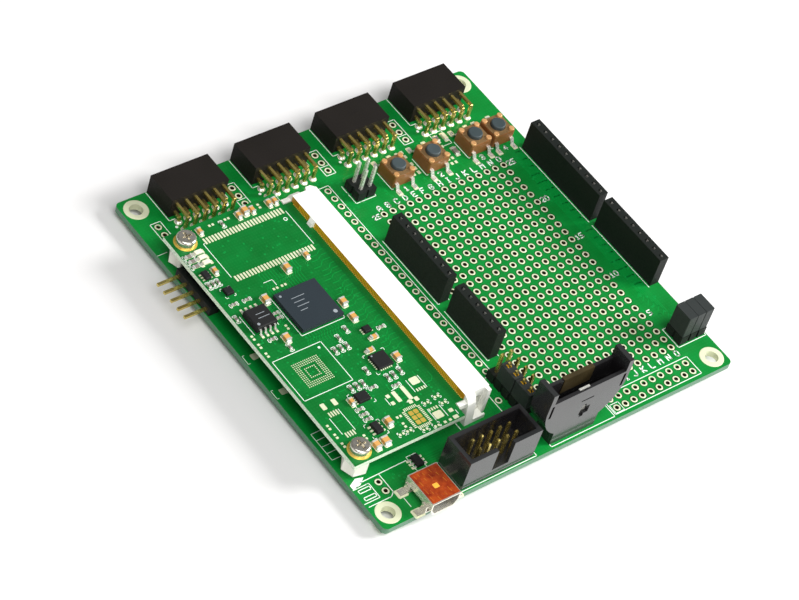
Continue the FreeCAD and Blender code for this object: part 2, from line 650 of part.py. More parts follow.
def build_cell_holder():
    front, depth, middle = dim("cell_front"), dim("cell_depth"), dim("cell_middle")
    axis, bore, slot = dim("cell_axis"), dim("cell_bore"), dim("cell_slot")
    body = holder_outline(front).extrude(FreeCAD.Vector(0, depth, 0))
    slot_front = front + (depth - slot) / 2
    round_part = Part.makeCylinder(bore, slot, FreeCAD.Vector(middle, slot_front, axis),
                                   FreeCAD.Vector(0, 1, 0))
    neck = cuboid(middle - bore, middle + bore, slot_front, slot_front + slot, axis, 30)
    window = cuboid(middle - 0.5, middle + 2.2, front - 1, slot_front + 0.1, 6.7, 9.1)
    crossing = cuboid(middle - 0.1, middle + 1.0, front - 1, slot_front + 0.1, 5.9, 10.0)
    slit = cuboid(middle - 1.2, middle + 2.3, front - 1, slot_front + 0.1, 11.6, 12.0)
    steps = [cuboid(middle + s * 10.2 - 0.35, middle + s * 10.2 + 0.35, front - 1,
                    slot_front + 0.1, 11.0, 15.0) for s in (-1, 1)]
    tails = [centred(x, y, 1.1, 1.1, -1, 0.6) for x, y in cell_pins()]
    body = body.cut([round_part, neck, window, crossing, slit] + steps + tails)
    keep(feature(body.removeSplitter(), "Holder"), "battery_holder")
    side = 0.7
    clip = cuboid(middle - 2.7, middle + 0.2, slot_front - 0.35, slot_front + 0.15, 15.7, 15.85)
    clip = clip.fuse(cuboid(middle - 2.7, middle + 0.2, slot_front + 0.02, slot_front + 0.15, 5.0, 15.85))
    clip = clip.fuse(cuboid(middle - 0.4, middle + 2.1, slot_front + 0.02, slot_front + 0.15, 5.0, 9.0))
    pins = [centred(x, y, side, 0.3, -dim("tail_short"), 0.55) for x, y in cell_pins()]
    keep(feature(Part.makeCompound([clip.removeSplitter()] + pins[:2]), "Front"), "battery_front_contact")
    rear = slot_front + slot
    plate = cuboid(middle - 4.0, middle + 4.6, rear - 0.15, rear - 0.02, 11.5, 15.9)
    plate = plate.fuse(cuboid(middle - 4.0, middle + 4.6, rear - 0.15, front + depth + 0.1, 15.7, 15.9))
    keep(feature(Part.makeCompound([plate.removeSplitter(), pins[2]]), "Rear"), "battery_rear_contact")


# ---------------------------------------------------------------- pin headers and caps

def header_base(label, pins, columns, rows, middle, centre):
    """A low plastic strip with a nick between neighbouring pins."""
    step, side = dim("pitch"), dim("pin_side")
    shell = block("pitch * %d" % columns, "pitch * %d" % rows, "base_tall",
                  ("%s - pitch * %s" % (middle, columns / 2), "%s - pitch * %s" % (centre, rows / 2), "0"))
    holes = [centred(x, y, side, side, -1, 5) for x, y in pins]
    x_low = dim(middle) - step * columns / 2
    y_low = dim(centre) - step * rows / 2
    for i in range(1, columns):
        for y in (y_low, y_low + rows * step):
            holes.append(centred(x_low + i * step, y, 0.6, 0.6, -1, 5))
    for i in range(1, rows):
        for x in (x_low, x_low + columns * step):
            holes.append(centred(x, y_low + i * step, 0.6, 0.6, -1, 5))
    keep(cut(shell, feature(Part.makeCompound(holes), "Holes")), label)


def header_pins(label, pins, top):
    solids = [straight_pin(x, y, top, dim("tail_short")) for x, y in pins]
    keep(feature(Part.makeCompound(solids), "Pins"), label)


def jumper_cap(label, x, y, tall, open_top):
    """A cap, with its folded metal clip, over two pins one behind the other."""
    low = dim("base_tall") + dim("cap_lift")
    top = low + tall
    side, length = dim("cap_side"), dim("cap_length")
    shell = centred(x, y, side, length, low, top)
    upright = [e for e in shell.Edges if abs(e.Vertexes[0].Z - e.Vertexes[1].Z) > 1]
    shell = shell.makeFillet(0.2, upright)
    hollows = [centred(x, y, 1.3, 3.9, low - 1, top - dim("cap_roof"))]
    if open_top:
        hollows += [centred(x, y + s * dim("pitch") / 2, 0.9, 1.1, low, top + 1) for s in (-1, 1)]
    keep(feature(shell.cut(hollows).removeSplitter(), "Cap"), "jumper_cap_" + label)
    z_low, z_high = low + 0.5, top - 0.6
    clip = cuboid(x - 0.65, x - 0.5, y - 1.95, y + 1.95, z_low, z_high)
    clip = clip.fuse([cuboid(x - 0.65, x + 0.5, y - 1.95, y - 1.8, z_low, z_high),
                      cuboid(x - 0.65, x + 0.5, y + 1.8, y + 1.95, z_low, z_high)])
    keep(feature(clip.removeSplitter(), "Clip"), "jumper_clip_" + label)


def build_headers():
    header_base("jumper_header_a_base", cap_pins_a(), 3, 2, "jumper_a_left", "jumper_a_front")
    header_pins("jumper_header_a_pins", cap_pins_a(), dim("short_pin_top"))
    for number, x in enumerate(places(3, dim("jumper_a_left")), start=1):
        jumper_cap("a%d" % number, x, dim("jumper_a_front"), dim("cap_tall"), False)
    header_base("jumper_header_b_base", cap_pins_b(), 2, 5, "jumper_b_left", "jumper_b_front")
    header_pins("jumper_header_b_pins", cap_pins_b(), dim("pin_top"))
    column = dim("jumper_b_left") - dim("pitch") / 2
    capped = dim("jumper_b_front") - dim("pitch") / 2
    for number, y in enumerate(places(2, capped, 2 * dim("pitch")), start=1):
        jumper_cap("b%d" % number, column, y, dim("low_cap_tall"), True)
    header_base("pin_header_base", pair_pins(), 2, 2, "pair_left", "pair_front")
    header_pins("pin_header_pins", pair_pins(), dim("pair_pin_top"))


def build_side_header():
    """A right-angle pin header whose pins stand out past the board's edge."""
    step, half = dim("pitch"), dim("pin_side") / 2
    right, left = dim("side_right"), dim("side_right") - dim("pitch")
    shell = block("pitch", "pitch * 5", "base_tall",
                  ("side_right - pitch", "side_middle - pitch * 2.5", "0"))
    level = step / 2
    holes, solids = [], []
    for x, y in side_pins():
        holes.append(cuboid(left - 1, right + 1, y - half, y + half, level - half, level + half))
        reach = cuboid(left - dim("side_reach"), x + half, y - half, y + half, level - half, level + half)
        drop = cuboid(x - half, x + half, y - half, y + half, -dim("tail_short"), level + half)
        solids.append(reach.fuse(drop).removeSplitter())
    keep(cut(shell, feature(Part.makeCompound(holes), "Holes")), "side_header_base")
    keep(feature(Part.makeCompound(solids), "Pins"), "side_header_pins")


# ---------------------------------------------------------------- push switches

def build_switches():
    row, side, tall = dim("switch_row"), dim("switch_side"), dim("switch_tall")
    cover_top = tall + dim("cover_thick")
    radius = dim("button_across") / 2
    cases, covers, rivets, leads, domes = [], [], [], [], []
    for number, x in enumerate(SWITCH_CENTRES, start=1):
        shell = centred(x, row, side, side, 0.1, tall)
        upright = [e for e in shell.Edges if abs(e.Vertexes[0].Z - e.Vertexes[1].Z) > 1]
        shell = shell.makeFillet(0.4, upright)
        well = Part.makeCylinder(2.35, tall, FreeCAD.Vector(x, row, 0.7))
        cases.append(shell.cut(well))
        stem = Part.makeCylinder(radius, dim("button_top") - dim("button_foot"),
                                 FreeCAD.Vector(x, row, dim("button_foot")))
        rim = [e for e in stem.Edges if e.Closed and abs(e.BoundBox.ZMin - dim("button_top")) < 1e-6]
        stem = stem.makeFillet(0.3, rim)
        collar = Part.makeCylinder(radius + 0.35, 0.7, FreeCAD.Vector(x, row, dim("button_foot")))
        keep(feature(stem.fuse(collar).removeSplitter(), "Button"), "switch_button_%d" % number)
        plate = centred(x, row, side - 0.3, side - 0.3, tall, cover_top)
        hole = Part.makeCylinder(radius + 0.1, 2, FreeCAD.Vector(x, row, tall - 1))
        covers.append(plate.cut(hole))
        for dx in (-1, 1):
            for dy in (-1, 1):
                spread = dim("rivet_spread")
                place = FreeCAD.Vector(x + dx * spread, row + dy * spread, cover_top)
                dot = Part.makeCylinder(dim("rivet_across") / 2, dim("rivet_tall"), place)
                top = [e for e in dot.Edges if e.Closed and e.BoundBox.ZMin > cover_top + 0.1]
                rivets.append(dot.makeFillet(0.12, top))
                leads.append(gull_wing(x + dx * dim("lead_spread"), row + dy * side / 2, dy))
        ball = Part.makeSphere(4.0, FreeCAD.Vector(x, row, -2.7))
        inner = Part.makeSphere(3.9, FreeCAD.Vector(x, row, -2.7))
        domes.append(ball.cut(inner).common(cuboid(x - 3, x + 3, row - 3, row + 3, 0.72, 2)))
    keep(feature(Part.makeCompound(cases), "Cases"), "switch_cases")
    keep(feature(Part.makeCompound(covers), "Covers"), "switch_covers")
    keep(feature(Part.makeCompound(rivets), "Rivets"), "switch_rivets")
    keep(feature(Part.makeCompound(leads), "Leads"), "switch_leads")
    keep(feature(Part.makeCompound(domes), "Domes"), "switch_domes")


def gull_wing(x, face, way):
    """A lead that leaves a case, steps down and lies on the board."""
    thick, tall, reach, half = dim("lead_thick"), dim("lead_tall"), dim("lead_reach"), dim("lead_wide") / 2
    steps = [(0, tall), (0.5, tall), (1.1, thick), (reach, thick), (reach, 0),
             (0.95, 0), (0.35, tall - thick), (0, tall - thick)]
    points = [(x - half, face + way * out, z) for out, z in steps]
    return prism(points, (2 * half, 0, 0))


# ---------------------------------------------------------------- chips and small parts

def soft_box(x, y, size_x, size_y, low, tall, radius):
    """A small moulded or fired block with softened upper edges."""
    made = centred(x, y, size_x, size_y, low, low + tall)
    upper = [e for e in made.Edges if e.BoundBox.ZMin > low + tall / 2]
    return made.makeChamfer(radius, upper)


def build_chips():
    top = dim("module_gap") + dim("module_thick")
    x, y, side = dim("cpu_left"), dim("cpu_front"), dim("cpu_side")
    lid = centred(x, y, side, side, top + 0.3, top + dim("cpu_tall"))
    balls = [centred(x + i * 0.8, y + j * 0.8, 0.42, 0.42, top, top + 0.3)
             for i in range(-6, 7) for j in range(-6, 7) if max(abs(i), abs(j)) > 4]
    keep(feature(Part.makeCompound([lid] + balls), "Processor"), "processor_chip")
    x, y, side = dim("flash_left"), dim("flash_front"), dim("flash_side")
    keep(feature(soft_box(x, y, side, side, top + 0.1, dim("flash_tall") - 0.1, 0.2), "Memory"),
         "memory_chip")
    leads = [centred(GUARD[0] + way * 1.25, row, 0.8, 0.4, 0.0, 0.2)
             for way in (-1, 1) for row in places(3, GUARD[1], 0.95)]
    reach = (dim("flash_span") - side) / 2
    for lead_x in places(4, x, 1.27):
        for way in (-1, 1):
            steps = [(0, 1.1), (0.35, 1.1), (0.65, 0.18), (reach, 0.18), (reach, 0),
                     (0.5, 0), (0.2, 0.92), (0, 0.92)]
            points = [(lead_x - 0.21, y + way * (side / 2 + out), top + z) for out, z in steps]
            leads.append(prism(points, (0.42, 0, 0)))
    keep(feature(Part.makeCompound(leads), "Leads"), "chip_leads")
    small = [soft_box(cx, cy, sx, sy, top + 0.05, tall - 0.05, 0.1) for cx, cy, sx, sy, tall in SMALL_CHIPS]
    small.append(soft_box(GUARD[0], GUARD[1], 1.7, 2.9, 0.1, 1.0, 0.1))
    keep(feature(Part.makeCompound(small), "Chips"), "small_chips")
    fired = [soft_box(cx, cy, sx, sy, top + 0.02, tall, 0.08) for cx, cy, sx, sy, tall in CERAMICS]
    keep(feature(Part.makeCompound(fired), "Capacitors"), "chip_capacitors")
    flat = [soft_box(cx, cy, sx, sy, top + 0.02, RESISTOR_TALL, 0.05) for cx, cy, sx, sy in RESISTORS]
    flat += [soft_box(cx, cy, sx, sy, 0.02, 0.55, 0.05) for cx, cy, sx, sy in CARRIER_RESISTORS]
    keep(feature(Part.makeCompound(flat), "Resistors"), "chip_resistors")
    lights = [soft_box(cx, cy, 1.9, 1.0, top + 0.02, 0.6, 0.1) for cx, cy in LIGHT_BODIES]
    lights.append(soft_box(32.0, 34.2, 1.0, 1.8, 0.02, 0.7, 0.12))
    keep(feature(Part.makeCompound(lights), "Lights"), "indicator_lights")


def check_and_write():
    doc.recompute()
    for made in doc.Objects:
        if "Invalid" in made.State or "Error" in made.State:
            raise RuntimeError("%s (%s) did not build" % (made.Name, made.Label))
    for node in nodes:
        shape = node.Shape
        if shape.isNull() or not shape.isValid():
            raise RuntimeError("%s has no valid shape" % node.Label)
    os.makedirs("parts", exist_ok=True)
    for node in nodes:
        node.Shape.exportStep("parts/%s.step" % node.Label)
        print("%-28s solids %3d  volume %10.3f" % (node.Label, len(node.Shape.Solids), node.Shape.Volume))


build_carrier_board()
build_module_board()
build_module_connector()
build_edge_contacts()
build_spacers()
build_screws()
build_sockets()
build_socket_pins()
build_shield_headers()
build_shield_contacts()
build_debug_header()
build_usb()
build_cell_holder()
build_headers()
build_side_header()
build_switches()
build_chips()
check_and_write()
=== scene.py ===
import math
import random

import bmesh
import bpy
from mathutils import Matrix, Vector


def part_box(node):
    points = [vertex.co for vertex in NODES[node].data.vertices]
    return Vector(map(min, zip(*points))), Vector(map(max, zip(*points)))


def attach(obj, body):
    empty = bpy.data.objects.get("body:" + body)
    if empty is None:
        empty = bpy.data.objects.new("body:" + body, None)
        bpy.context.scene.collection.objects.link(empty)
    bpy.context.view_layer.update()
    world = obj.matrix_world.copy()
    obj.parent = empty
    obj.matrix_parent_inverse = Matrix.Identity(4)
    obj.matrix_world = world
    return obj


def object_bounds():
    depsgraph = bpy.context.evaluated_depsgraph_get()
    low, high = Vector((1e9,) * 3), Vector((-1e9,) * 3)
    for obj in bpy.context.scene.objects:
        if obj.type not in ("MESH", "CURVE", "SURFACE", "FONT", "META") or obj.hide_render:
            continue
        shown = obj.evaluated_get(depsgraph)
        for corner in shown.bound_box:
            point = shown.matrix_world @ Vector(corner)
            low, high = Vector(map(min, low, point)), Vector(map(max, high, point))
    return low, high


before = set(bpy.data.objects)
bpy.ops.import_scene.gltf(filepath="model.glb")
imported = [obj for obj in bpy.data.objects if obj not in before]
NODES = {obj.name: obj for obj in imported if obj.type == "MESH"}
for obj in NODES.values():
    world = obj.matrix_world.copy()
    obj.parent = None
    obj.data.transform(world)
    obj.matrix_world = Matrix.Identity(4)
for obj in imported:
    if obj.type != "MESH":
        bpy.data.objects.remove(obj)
CAD_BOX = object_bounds()
MM = 0.001
PITCH = 2.54
random.seed(7)


# ---- materials

MATERIALS = {}


def ramp(tree, source, low, high, out_low=0.0, out_high=1.0):
    """Maps a value from one range to another."""
    node = tree.nodes.new("ShaderNodeMapRange")
    node.inputs["From Min"].default_value = low
    node.inputs["From Max"].default_value = high
    node.inputs["To Min"].default_value = out_low
    node.inputs["To Max"].default_value = out_high
    tree.links.new(source, node.inputs["Value"])
    return node.outputs["Result"]


def noise(tree, coords, scale, detail=4.0):
    """Soft random patches of a given scale."""
    node = tree.nodes.new("ShaderNodeTexNoise")
    node.inputs["Scale"].default_value = scale
    node.inputs["Detail"].default_value = detail
    node.inputs["Roughness"].default_value = 0.55
    tree.links.new(coords, node.inputs["Vector"])
    return node.outputs["Fac"]


def blend_colour(tree, factor, first, second):
    """Mixes two colours; either may be a tuple or a socket."""
    node = tree.nodes.new("ShaderNodeMix")
    node.data_type = "RGBA"
    for socket, value in ((node.inputs[6], first), (node.inputs[7], second)):
        if isinstance(value, tuple):
            socket.default_value = (*value, 1.0)
        else:
            tree.links.new(value, socket)
    tree.links.new(factor, node.inputs[0])
    return node.outputs[2]


def material(name, base, other, rough, metallic=0.0, grain=1800.0, patch=90.0, bump=0.15,
             edge_highlight=None, coat=0.0, specular=0.5):
    """A surface with patchy colour, uneven gloss, a fine grain and a painted highlight that lightens its
    sharp edges, kept by its name.
    """
    made = bpy.data.materials.new(name)
    MATERIALS[name] = made
    made.use_nodes = True
    tree = made.node_tree
    shader = tree.nodes["Principled BSDF"]
    shader.inputs["Metallic"].default_value = metallic
    shader.inputs["Coat Weight"].default_value = coat
    shader.inputs["Coat Roughness"].default_value = 0.12
    shader.inputs["Specular IOR Level"].default_value = specular
    coords = tree.nodes.new("ShaderNodeTexCoord").outputs["Object"]
    patchy = noise(tree, coords, patch)
    grainy = noise(tree, coords, grain, 3.0)
    colour = blend_colour(tree, ramp(tree, patchy, 0.35, 0.65), base, other)
    # painted highlight: the sharpest edges, found by pointiness, are lightened towards the given lighter
    # colour
    if edge_highlight:
        edge = tree.nodes.new("ShaderNodeNewGeometry").outputs["Pointiness"]
        colour = blend_colour(tree, ramp(tree, edge, 0.52, 0.6, 0.0, 0.75), colour, edge_highlight)
    tree.links.new(colour, shader.inputs["Base Color"])
    tree.links.new(ramp(tree, grainy, 0.3, 0.7, *rough), shader.inputs["Roughness"])
    raised = tree.nodes.new("ShaderNodeBump")
    raised.inputs["Strength"].default_value = bump
    raised.inputs["Distance"].default_value = 0.00003
    tree.links.new(grainy, raised.inputs["Height"])
    tree.links.new(raised.outputs["Normal"], shader.inputs["Normal"])
    return made


def laminate(name, base, other, edge):
    """Solder-masked board: glossy green faces over a faint glass weave, and a pale cut edge."""
    made = material(name, base, other, (0.30, 0.44), patch=160.0, grain=900.0, bump=0.05,
                    specular=0.3)
    tree = made.node_tree
    shader = tree.nodes["Principled BSDF"]
    coords = tree.nodes.new("ShaderNodeTexCoord").outputs["Object"]
    weave = []
    for direction in ("X", "Y"):
        wave = tree.nodes.new("ShaderNodeTexWave")
        wave.bands_direction = direction
        wave.inputs["Scale"].default_value = 420.0
        wave.inputs["Distortion"].default_value = 0.6
        tree.links.new(coords, wave.inputs["Vector"])
        weave.append(wave.outputs["Fac"])
    woven = tree.nodes.new("ShaderNodeMath")
    woven.operation = "MULTIPLY"
    tree.links.new(weave[0], woven.inputs[0])
    tree.links.new(weave[1], woven.inputs[1])
    face_colour = shader.inputs["Base Color"].links[0].from_socket
    tinted = blend_colour(tree, ramp(tree, woven.outputs[0], 0.0, 1.0, 0.0, 0.12), face_colour,
                          tuple(min(1.0, c * 1.6 + 0.02) for c in base))
    normal = tree.nodes.new("ShaderNodeSeparateXYZ")
    tree.links.new(tree.nodes.new("ShaderNodeNewGeometry").outputs["Normal"], normal.inputs[0])
    flat = tree.nodes.new("ShaderNodeMath")
    flat.operation = "ABSOLUTE"
    tree.links.new(normal.outputs["Z"], flat.inputs[0])
    fibres = noise(tree, coords, 2600.0, 2.0)
    side = blend_colour(tree, ramp(tree, fibres, 0.35, 0.65), edge,
                        tuple(c * 0.7 for c in edge))
    final = blend_colour(tree, ramp(tree, flat.outputs[0], 0.4, 0.6), side, tinted)
    tree.links.new(final, shader.inputs["Base Color"])
    return made


laminate("board", (0.001, 0.225, 0.032), (0.001, 0.18, 0.022), (0.11, 0.25, 0.15))
laminate("module", (0.001, 0.165, 0.024), (0.001, 0.13, 0.017), (0.76, 0.9, 0.7))
material("trace", (0.001, 0.27, 0.04), (0.001, 0.24, 0.034), (0.3, 0.45), specular=0.3)
material("pour", (0.002, 0.3, 0.052), (0.002, 0.26, 0.042), (0.3, 0.45), specular=0.3)
material("clear", (0.001, 0.085, 0.01), (0.001, 0.065, 0.007), (0.35, 0.5), specular=0.25)
material("tin", (0.76, 0.79, 0.56), (0.68, 0.7, 0.47), (0.34, 0.48), 0.15, grain=3000.0, bump=0.06)
material("solder", (0.9, 0.9, 0.84), (0.8, 0.8, 0.74), (0.18, 0.36), 0.55, grain=2400.0, bump=0.12)
material("gold", (0.76, 0.62, 0.2), (0.6, 0.46, 0.12), (0.16, 0.3), 0.9, grain=1200.0, patch=200.0, bump=0.03)
material("gold_pad", (0.86, 0.62, 0.12), (0.74, 0.48, 0.07), (0.28, 0.42), 0.5, grain=2200.0, bump=0.08)
# a lit and a shaded copy of one gold: the first brightened with painted light for faces turned from the
# lamps, the second darkened as painted shade
material("beam_painted_light", (0.98, 0.6, 0.03), (0.9, 0.5, 0.02), (0.3, 0.45), 0.1, grain=2200.0, bump=0.08)
material("beam_painted_shade", (0.66, 0.3, 0.008), (0.54, 0.23, 0.006), (0.35, 0.5), 0.1, grain=2200.0, bump=0.08)
material("lining", (0.04, 0.03, 0.012), (0.07, 0.05, 0.02), (0.4, 0.6), 0.2, grain=2600.0, bump=0.1,
         specular=0.2)
material("nickel", (0.84, 0.83, 0.76), (0.7, 0.69, 0.63), (0.2, 0.36), 0.6, grain=2200.0, bump=0.08)
material("silk", (0.88, 0.93, 0.86), (0.8, 0.86, 0.79), (0.55, 0.75), grain=3200.0, bump=0.15)
# where a material is given a lighter colour for its edges, that colour is a painted highlight on its sharp
# edges
material("black", (0.006, 0.008, 0.007), (0.01, 0.012, 0.01), (0.48, 0.66), grain=2400.0, bump=0.15,
         edge_highlight=(0.012, 0.015, 0.013), specular=0.16)
material("satin_black", (0.01, 0.009, 0.01), (0.016, 0.015, 0.016), (0.14, 0.22), grain=700.0, bump=0.015,
         edge_highlight=(0.024, 0.026, 0.026), specular=0.8)
material("charcoal", (0.008, 0.006, 0.005), (0.013, 0.01, 0.009), (0.5, 0.68), grain=2600.0, bump=0.2,
         edge_highlight=(0.014, 0.012, 0.01), specular=0.14)
material("cap", (0.017, 0.021, 0.021), (0.024, 0.028, 0.027), (0.4, 0.58), grain=2400.0, bump=0.15,
         edge_highlight=(0.032, 0.037, 0.036), specular=0.2)
material("white", (0.9, 0.9, 0.84), (0.84, 0.84, 0.76), (0.4, 0.6), grain=1500.0, bump=0.1)
material("nylon", (0.9, 0.88, 0.79), (0.82, 0.8, 0.7), (0.35, 0.55), grain=1500.0)
material("steel", (0.78, 0.75, 0.66), (0.66, 0.62, 0.53), (0.14, 0.3), 0.9, grain=1200.0, patch=260.0,
         bump=0.08, edge_highlight=(0.95, 0.93, 0.86))
material("shell", (0.9, 0.87, 0.76), (0.78, 0.75, 0.64), (0.14, 0.28), 0.75, grain=900.0, patch=200.0,
         bump=0.05)
material("film", (0.2, 0.018, 0.003), (0.37, 0.055, 0.007), (0.16, 0.32), patch=620.0, grain=700.0,
         coat=0.25, bump=0.1, specular=0.4)
material("film_mark", (0.9, 0.46, 0.06), (0.8, 0.36, 0.04), (0.2, 0.35), patch=500.0)
material("film_line", (0.52, 0.19, 0.02), (0.38, 0.07, 0.01), (0.2, 0.35), patch=900.0)
material("cover", (0.17, 0.105, 0.045), (0.24, 0.145, 0.06), (0.24, 0.4), 0.45, grain=1600.0, patch=380.0,
         bump=0.1, edge_highlight=(0.34, 0.2, 0.085))
material("brass", (0.8, 0.44, 0.19), (0.7, 0.35, 0.13), (0.25, 0.4), 0.4, grain=2200.0, bump=0.1)
material("case", (0.2, 0.072, 0.018), (0.13, 0.045, 0.012), (0.32, 0.5), 0.1, grain=2400.0, bump=0.15,
         edge_highlight=(0.27, 0.105, 0.028))
material("button", (0.04, 0.056, 0.06), (0.056, 0.075, 0.08), (0.36, 0.56), grain=2600.0, bump=0.2,
         edge_highlight=(0.07, 0.09, 0.1), specular=0.3)
material("slate", (0.018, 0.026, 0.034), (0.026, 0.036, 0.044), (0.45, 0.62), grain=3400.0, bump=0.15,
         edge_highlight=(0.026, 0.035, 0.042), specular=0.12)
material("chip", (0.01, 0.011, 0.012), (0.017, 0.018, 0.019), (0.46, 0.64), grain=3400.0, bump=0.2,
         edge_highlight=(0.018, 0.018, 0.018), specular=0.14)
material("tan", (0.56, 0.25, 0.045), (0.66, 0.36, 0.12), (0.3, 0.5), patch=160.0, grain=2600.0,
         edge_highlight=(0.64, 0.34, 0.1))
material("dark", (0.17, 0.155, 0.13), (0.26, 0.23, 0.2), (0.2, 0.4), grain=2600.0)
material("resin", (0.8, 0.76, 0.48), (0.86, 0.84, 0.64), (0.12, 0.28), grain=1800.0, coat=0.4)
material("ink", (0.22, 0.25, 0.27), (0.3, 0.33, 0.35), (0.5, 0.7))


def paint(key, *names):
    """Gives CAD pieces one material all over."""
    for name in names:
        slots = NODES[name].data.materials
        slots.clear()
        slots.append(MATERIALS[key])


def soften(width, *names):
    """Rounds the sharp edges of CAD pieces a little, as moulding and pressing leave them."""
    for name in names:
        made = NODES[name].modifiers.new("SoftEdges", "BEVEL")
        made.width = width * MM
        made.segments = 2
        made.limit_method = "ANGLE"
        made.angle_limit = math.radians(50)
        made.harden_normals = False


def group(prefix):
    """The CAD nodes whose names start alike."""
    return [name for name in NODES if name.startswith(prefix)]


# ---- places on the CAD parts

def reach(name):
    """A CAD node's lowest and highest corner, in millimetres."""
    return [[round(value / MM, 3) for value in corner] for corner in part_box(name)]


def middle(name):
    """The centre of a CAD node's box, in millimetres."""
    low, high = reach(name)
    return [round((a + b) / 2, 3) for a, b in zip(low, high)]


def solids(name):
    """The separate solids of a CAD node as (x, y, wide, deep, top), in millimetres, left to right."""
    mesh = bmesh.new()
    mesh.from_mesh(NODES[name].data)
    bmesh.ops.remove_doubles(mesh, verts=mesh.verts, dist=0.001 * MM)
    found = []
    seen = set()
    for start in mesh.verts:
        if start in seen:
            continue
        seen.add(start)
        island = [start]
        for vertex in island:
            for edge in vertex.link_edges:
                other = edge.other_vert(vertex)
                if other not in seen:
                    seen.add(other)
                    island.append(other)
        low = [min(vertex.co[axis] for vertex in island) / MM for axis in range(3)]
        high = [max(vertex.co[axis] for vertex in island) / MM for axis in range(3)]
        sizes = ((low[0] + high[0]) / 2, (low[1] + high[1]) / 2, high[0] - low[0], high[1] - low[1], high[2])
        found.append(tuple(round(size, 3) for size in sizes))
    mesh.free()
    return sorted(found)


def spread(count, centre, step=PITCH):
    """Evenly spaced places about a centre."""
    return [centre + (i - (count - 1) / 2) * step for i in range(count)]


def grid(columns, rows, left, front):
    """Places on the pin pitch, row by row from the front left one."""
    return [(left + c * PITCH, front + r * PITCH) for r in range(rows) for c in range(columns)]


def positions(name):
    """The pin positions of a header's or socket's base, one pitch square each."""
    low, high = reach(name)
    columns, rows = (round((high[axis] - low[axis]) / PITCH) for axis in (0, 1))
    return grid(columns, rows, low[0] + PITCH / 2, low[1] + PITCH / 2)


BOARD_UNDER = reach("carrier_board")[0][2]
MODULE_UNDER = reach("module_board")[0][2]
MODULE_TOP = reach("module_board")[1][2]

# the prototyping field, the two strips beside it and the small unfilled rows
FIELD_COLUMNS = 15
FIELD_ROWS = 25
FIELD_LEFT = 4.13
FIELD_FRONT = -39.98
FIELD = grid(FIELD_COLUMNS, FIELD_ROWS, FIELD_LEFT, FIELD_FRONT)
STRIP = grid(10, 2, 16.83, -47.6)
ROW = grid(1, 24, -3.52, -26.12)
TRIPLE_ROWS = (-23.1, 0.35, 23.15)
TRIPLES = [(x, y) for x in TRIPLE_ROWS for y in spread(3, 40.05)]
PAIRS = [(x, y) for x, centre in ((-44.95, 38.85), (-43.5, -40.45)) for y in spread(2, centre)]
LONE_HOLE = (-6.1, -33.8)
OPEN_HOLES = FIELD + STRIP + ROW + TRIPLES + PAIRS + [LONE_HOLE]

# holes with a pin in them
PIN = 0.64
SHIELD_SOCKETS = ["shield_header_" + end for end in ("10_pin", "8_pin_right", "8_pin_left", "6_pin")]
SHIELD_PINS = [place for name in SHIELD_SOCKETS for place in positions(name)]
SOCKETS = ["peripheral_socket_%d" % number for number in (1, 2, 3, 4)]
SOCKET_MIDDLES = [middle(name)[0] for name in SOCKETS]
SOCKET_FRONT = reach("peripheral_socket_pins")[0][1] + PIN / 2
SOCKET_PINS = [(x, y) for centre in SOCKET_MIDDLES for y in (SOCKET_FRONT + PITCH, SOCKET_FRONT)
               for x in spread(6, centre)]
DEBUG_X, DEBUG_Y, _ = middle("debug_header_pins")
DEBUG_PINS = grid(5, 2, DEBUG_X - 2 * PITCH, DEBUG_Y - PITCH / 2)
SIDE_PINS = [(reach("side_header_pins")[1][0] - PIN / 2, y) for y in spread(5, middle("side_header_pins")[1])]
CELL_TAIL = (0.7, 0.3)
CELL_FRONT = reach("battery_front_contact")
CELL_PINS = [(CELL_FRONT[0][0] + CELL_TAIL[0] / 2, CELL_FRONT[1][1] - CELL_TAIL[1] / 2),
             (CELL_FRONT[1][0] - CELL_TAIL[0] / 2, CELL_FRONT[1][1] - CELL_TAIL[1] / 2),
             (middle("battery_holder")[0], reach("battery_rear_contact")[0][1] + CELL_TAIL[1] / 2)]
FILLED = (SHIELD_PINS + SOCKET_PINS + DEBUG_PINS + positions("jumper_header_a_base")
          + positions("jumper_header_b_base") + positions("pin_header_base") + SIDE_PINS + CELL_PINS)

# mounting holes, switches and module screws
CORNERS = [(x, y) for x in (-46.5, 46.5) for y in (-46.5, 46.5)]
SWITCHES = [middle("switch_button_%d" % number)[0] for number in (1, 2, 3, 4)]
SWITCH_ROW = middle("switch_button_1")[1]
SCREWS_APART = 63.5
SCREWS = [(middle("module_screws")[0], y) for y in spread(2, middle("module_screws")[1], SCREWS_APART)]

# small parts, those on the module first
CERAMICS = solids("chip_capacitors")
RESISTORS = solids("chip_resistors")
LIGHTS = solids("indicator_lights")
MODULE_RESISTORS = [part for part in RESISTORS if part[-1] > MODULE_TOP]
MODULE_LIGHTS = [part for part in LIGHTS if part[-1] > MODULE_TOP]


# ---- mesh building

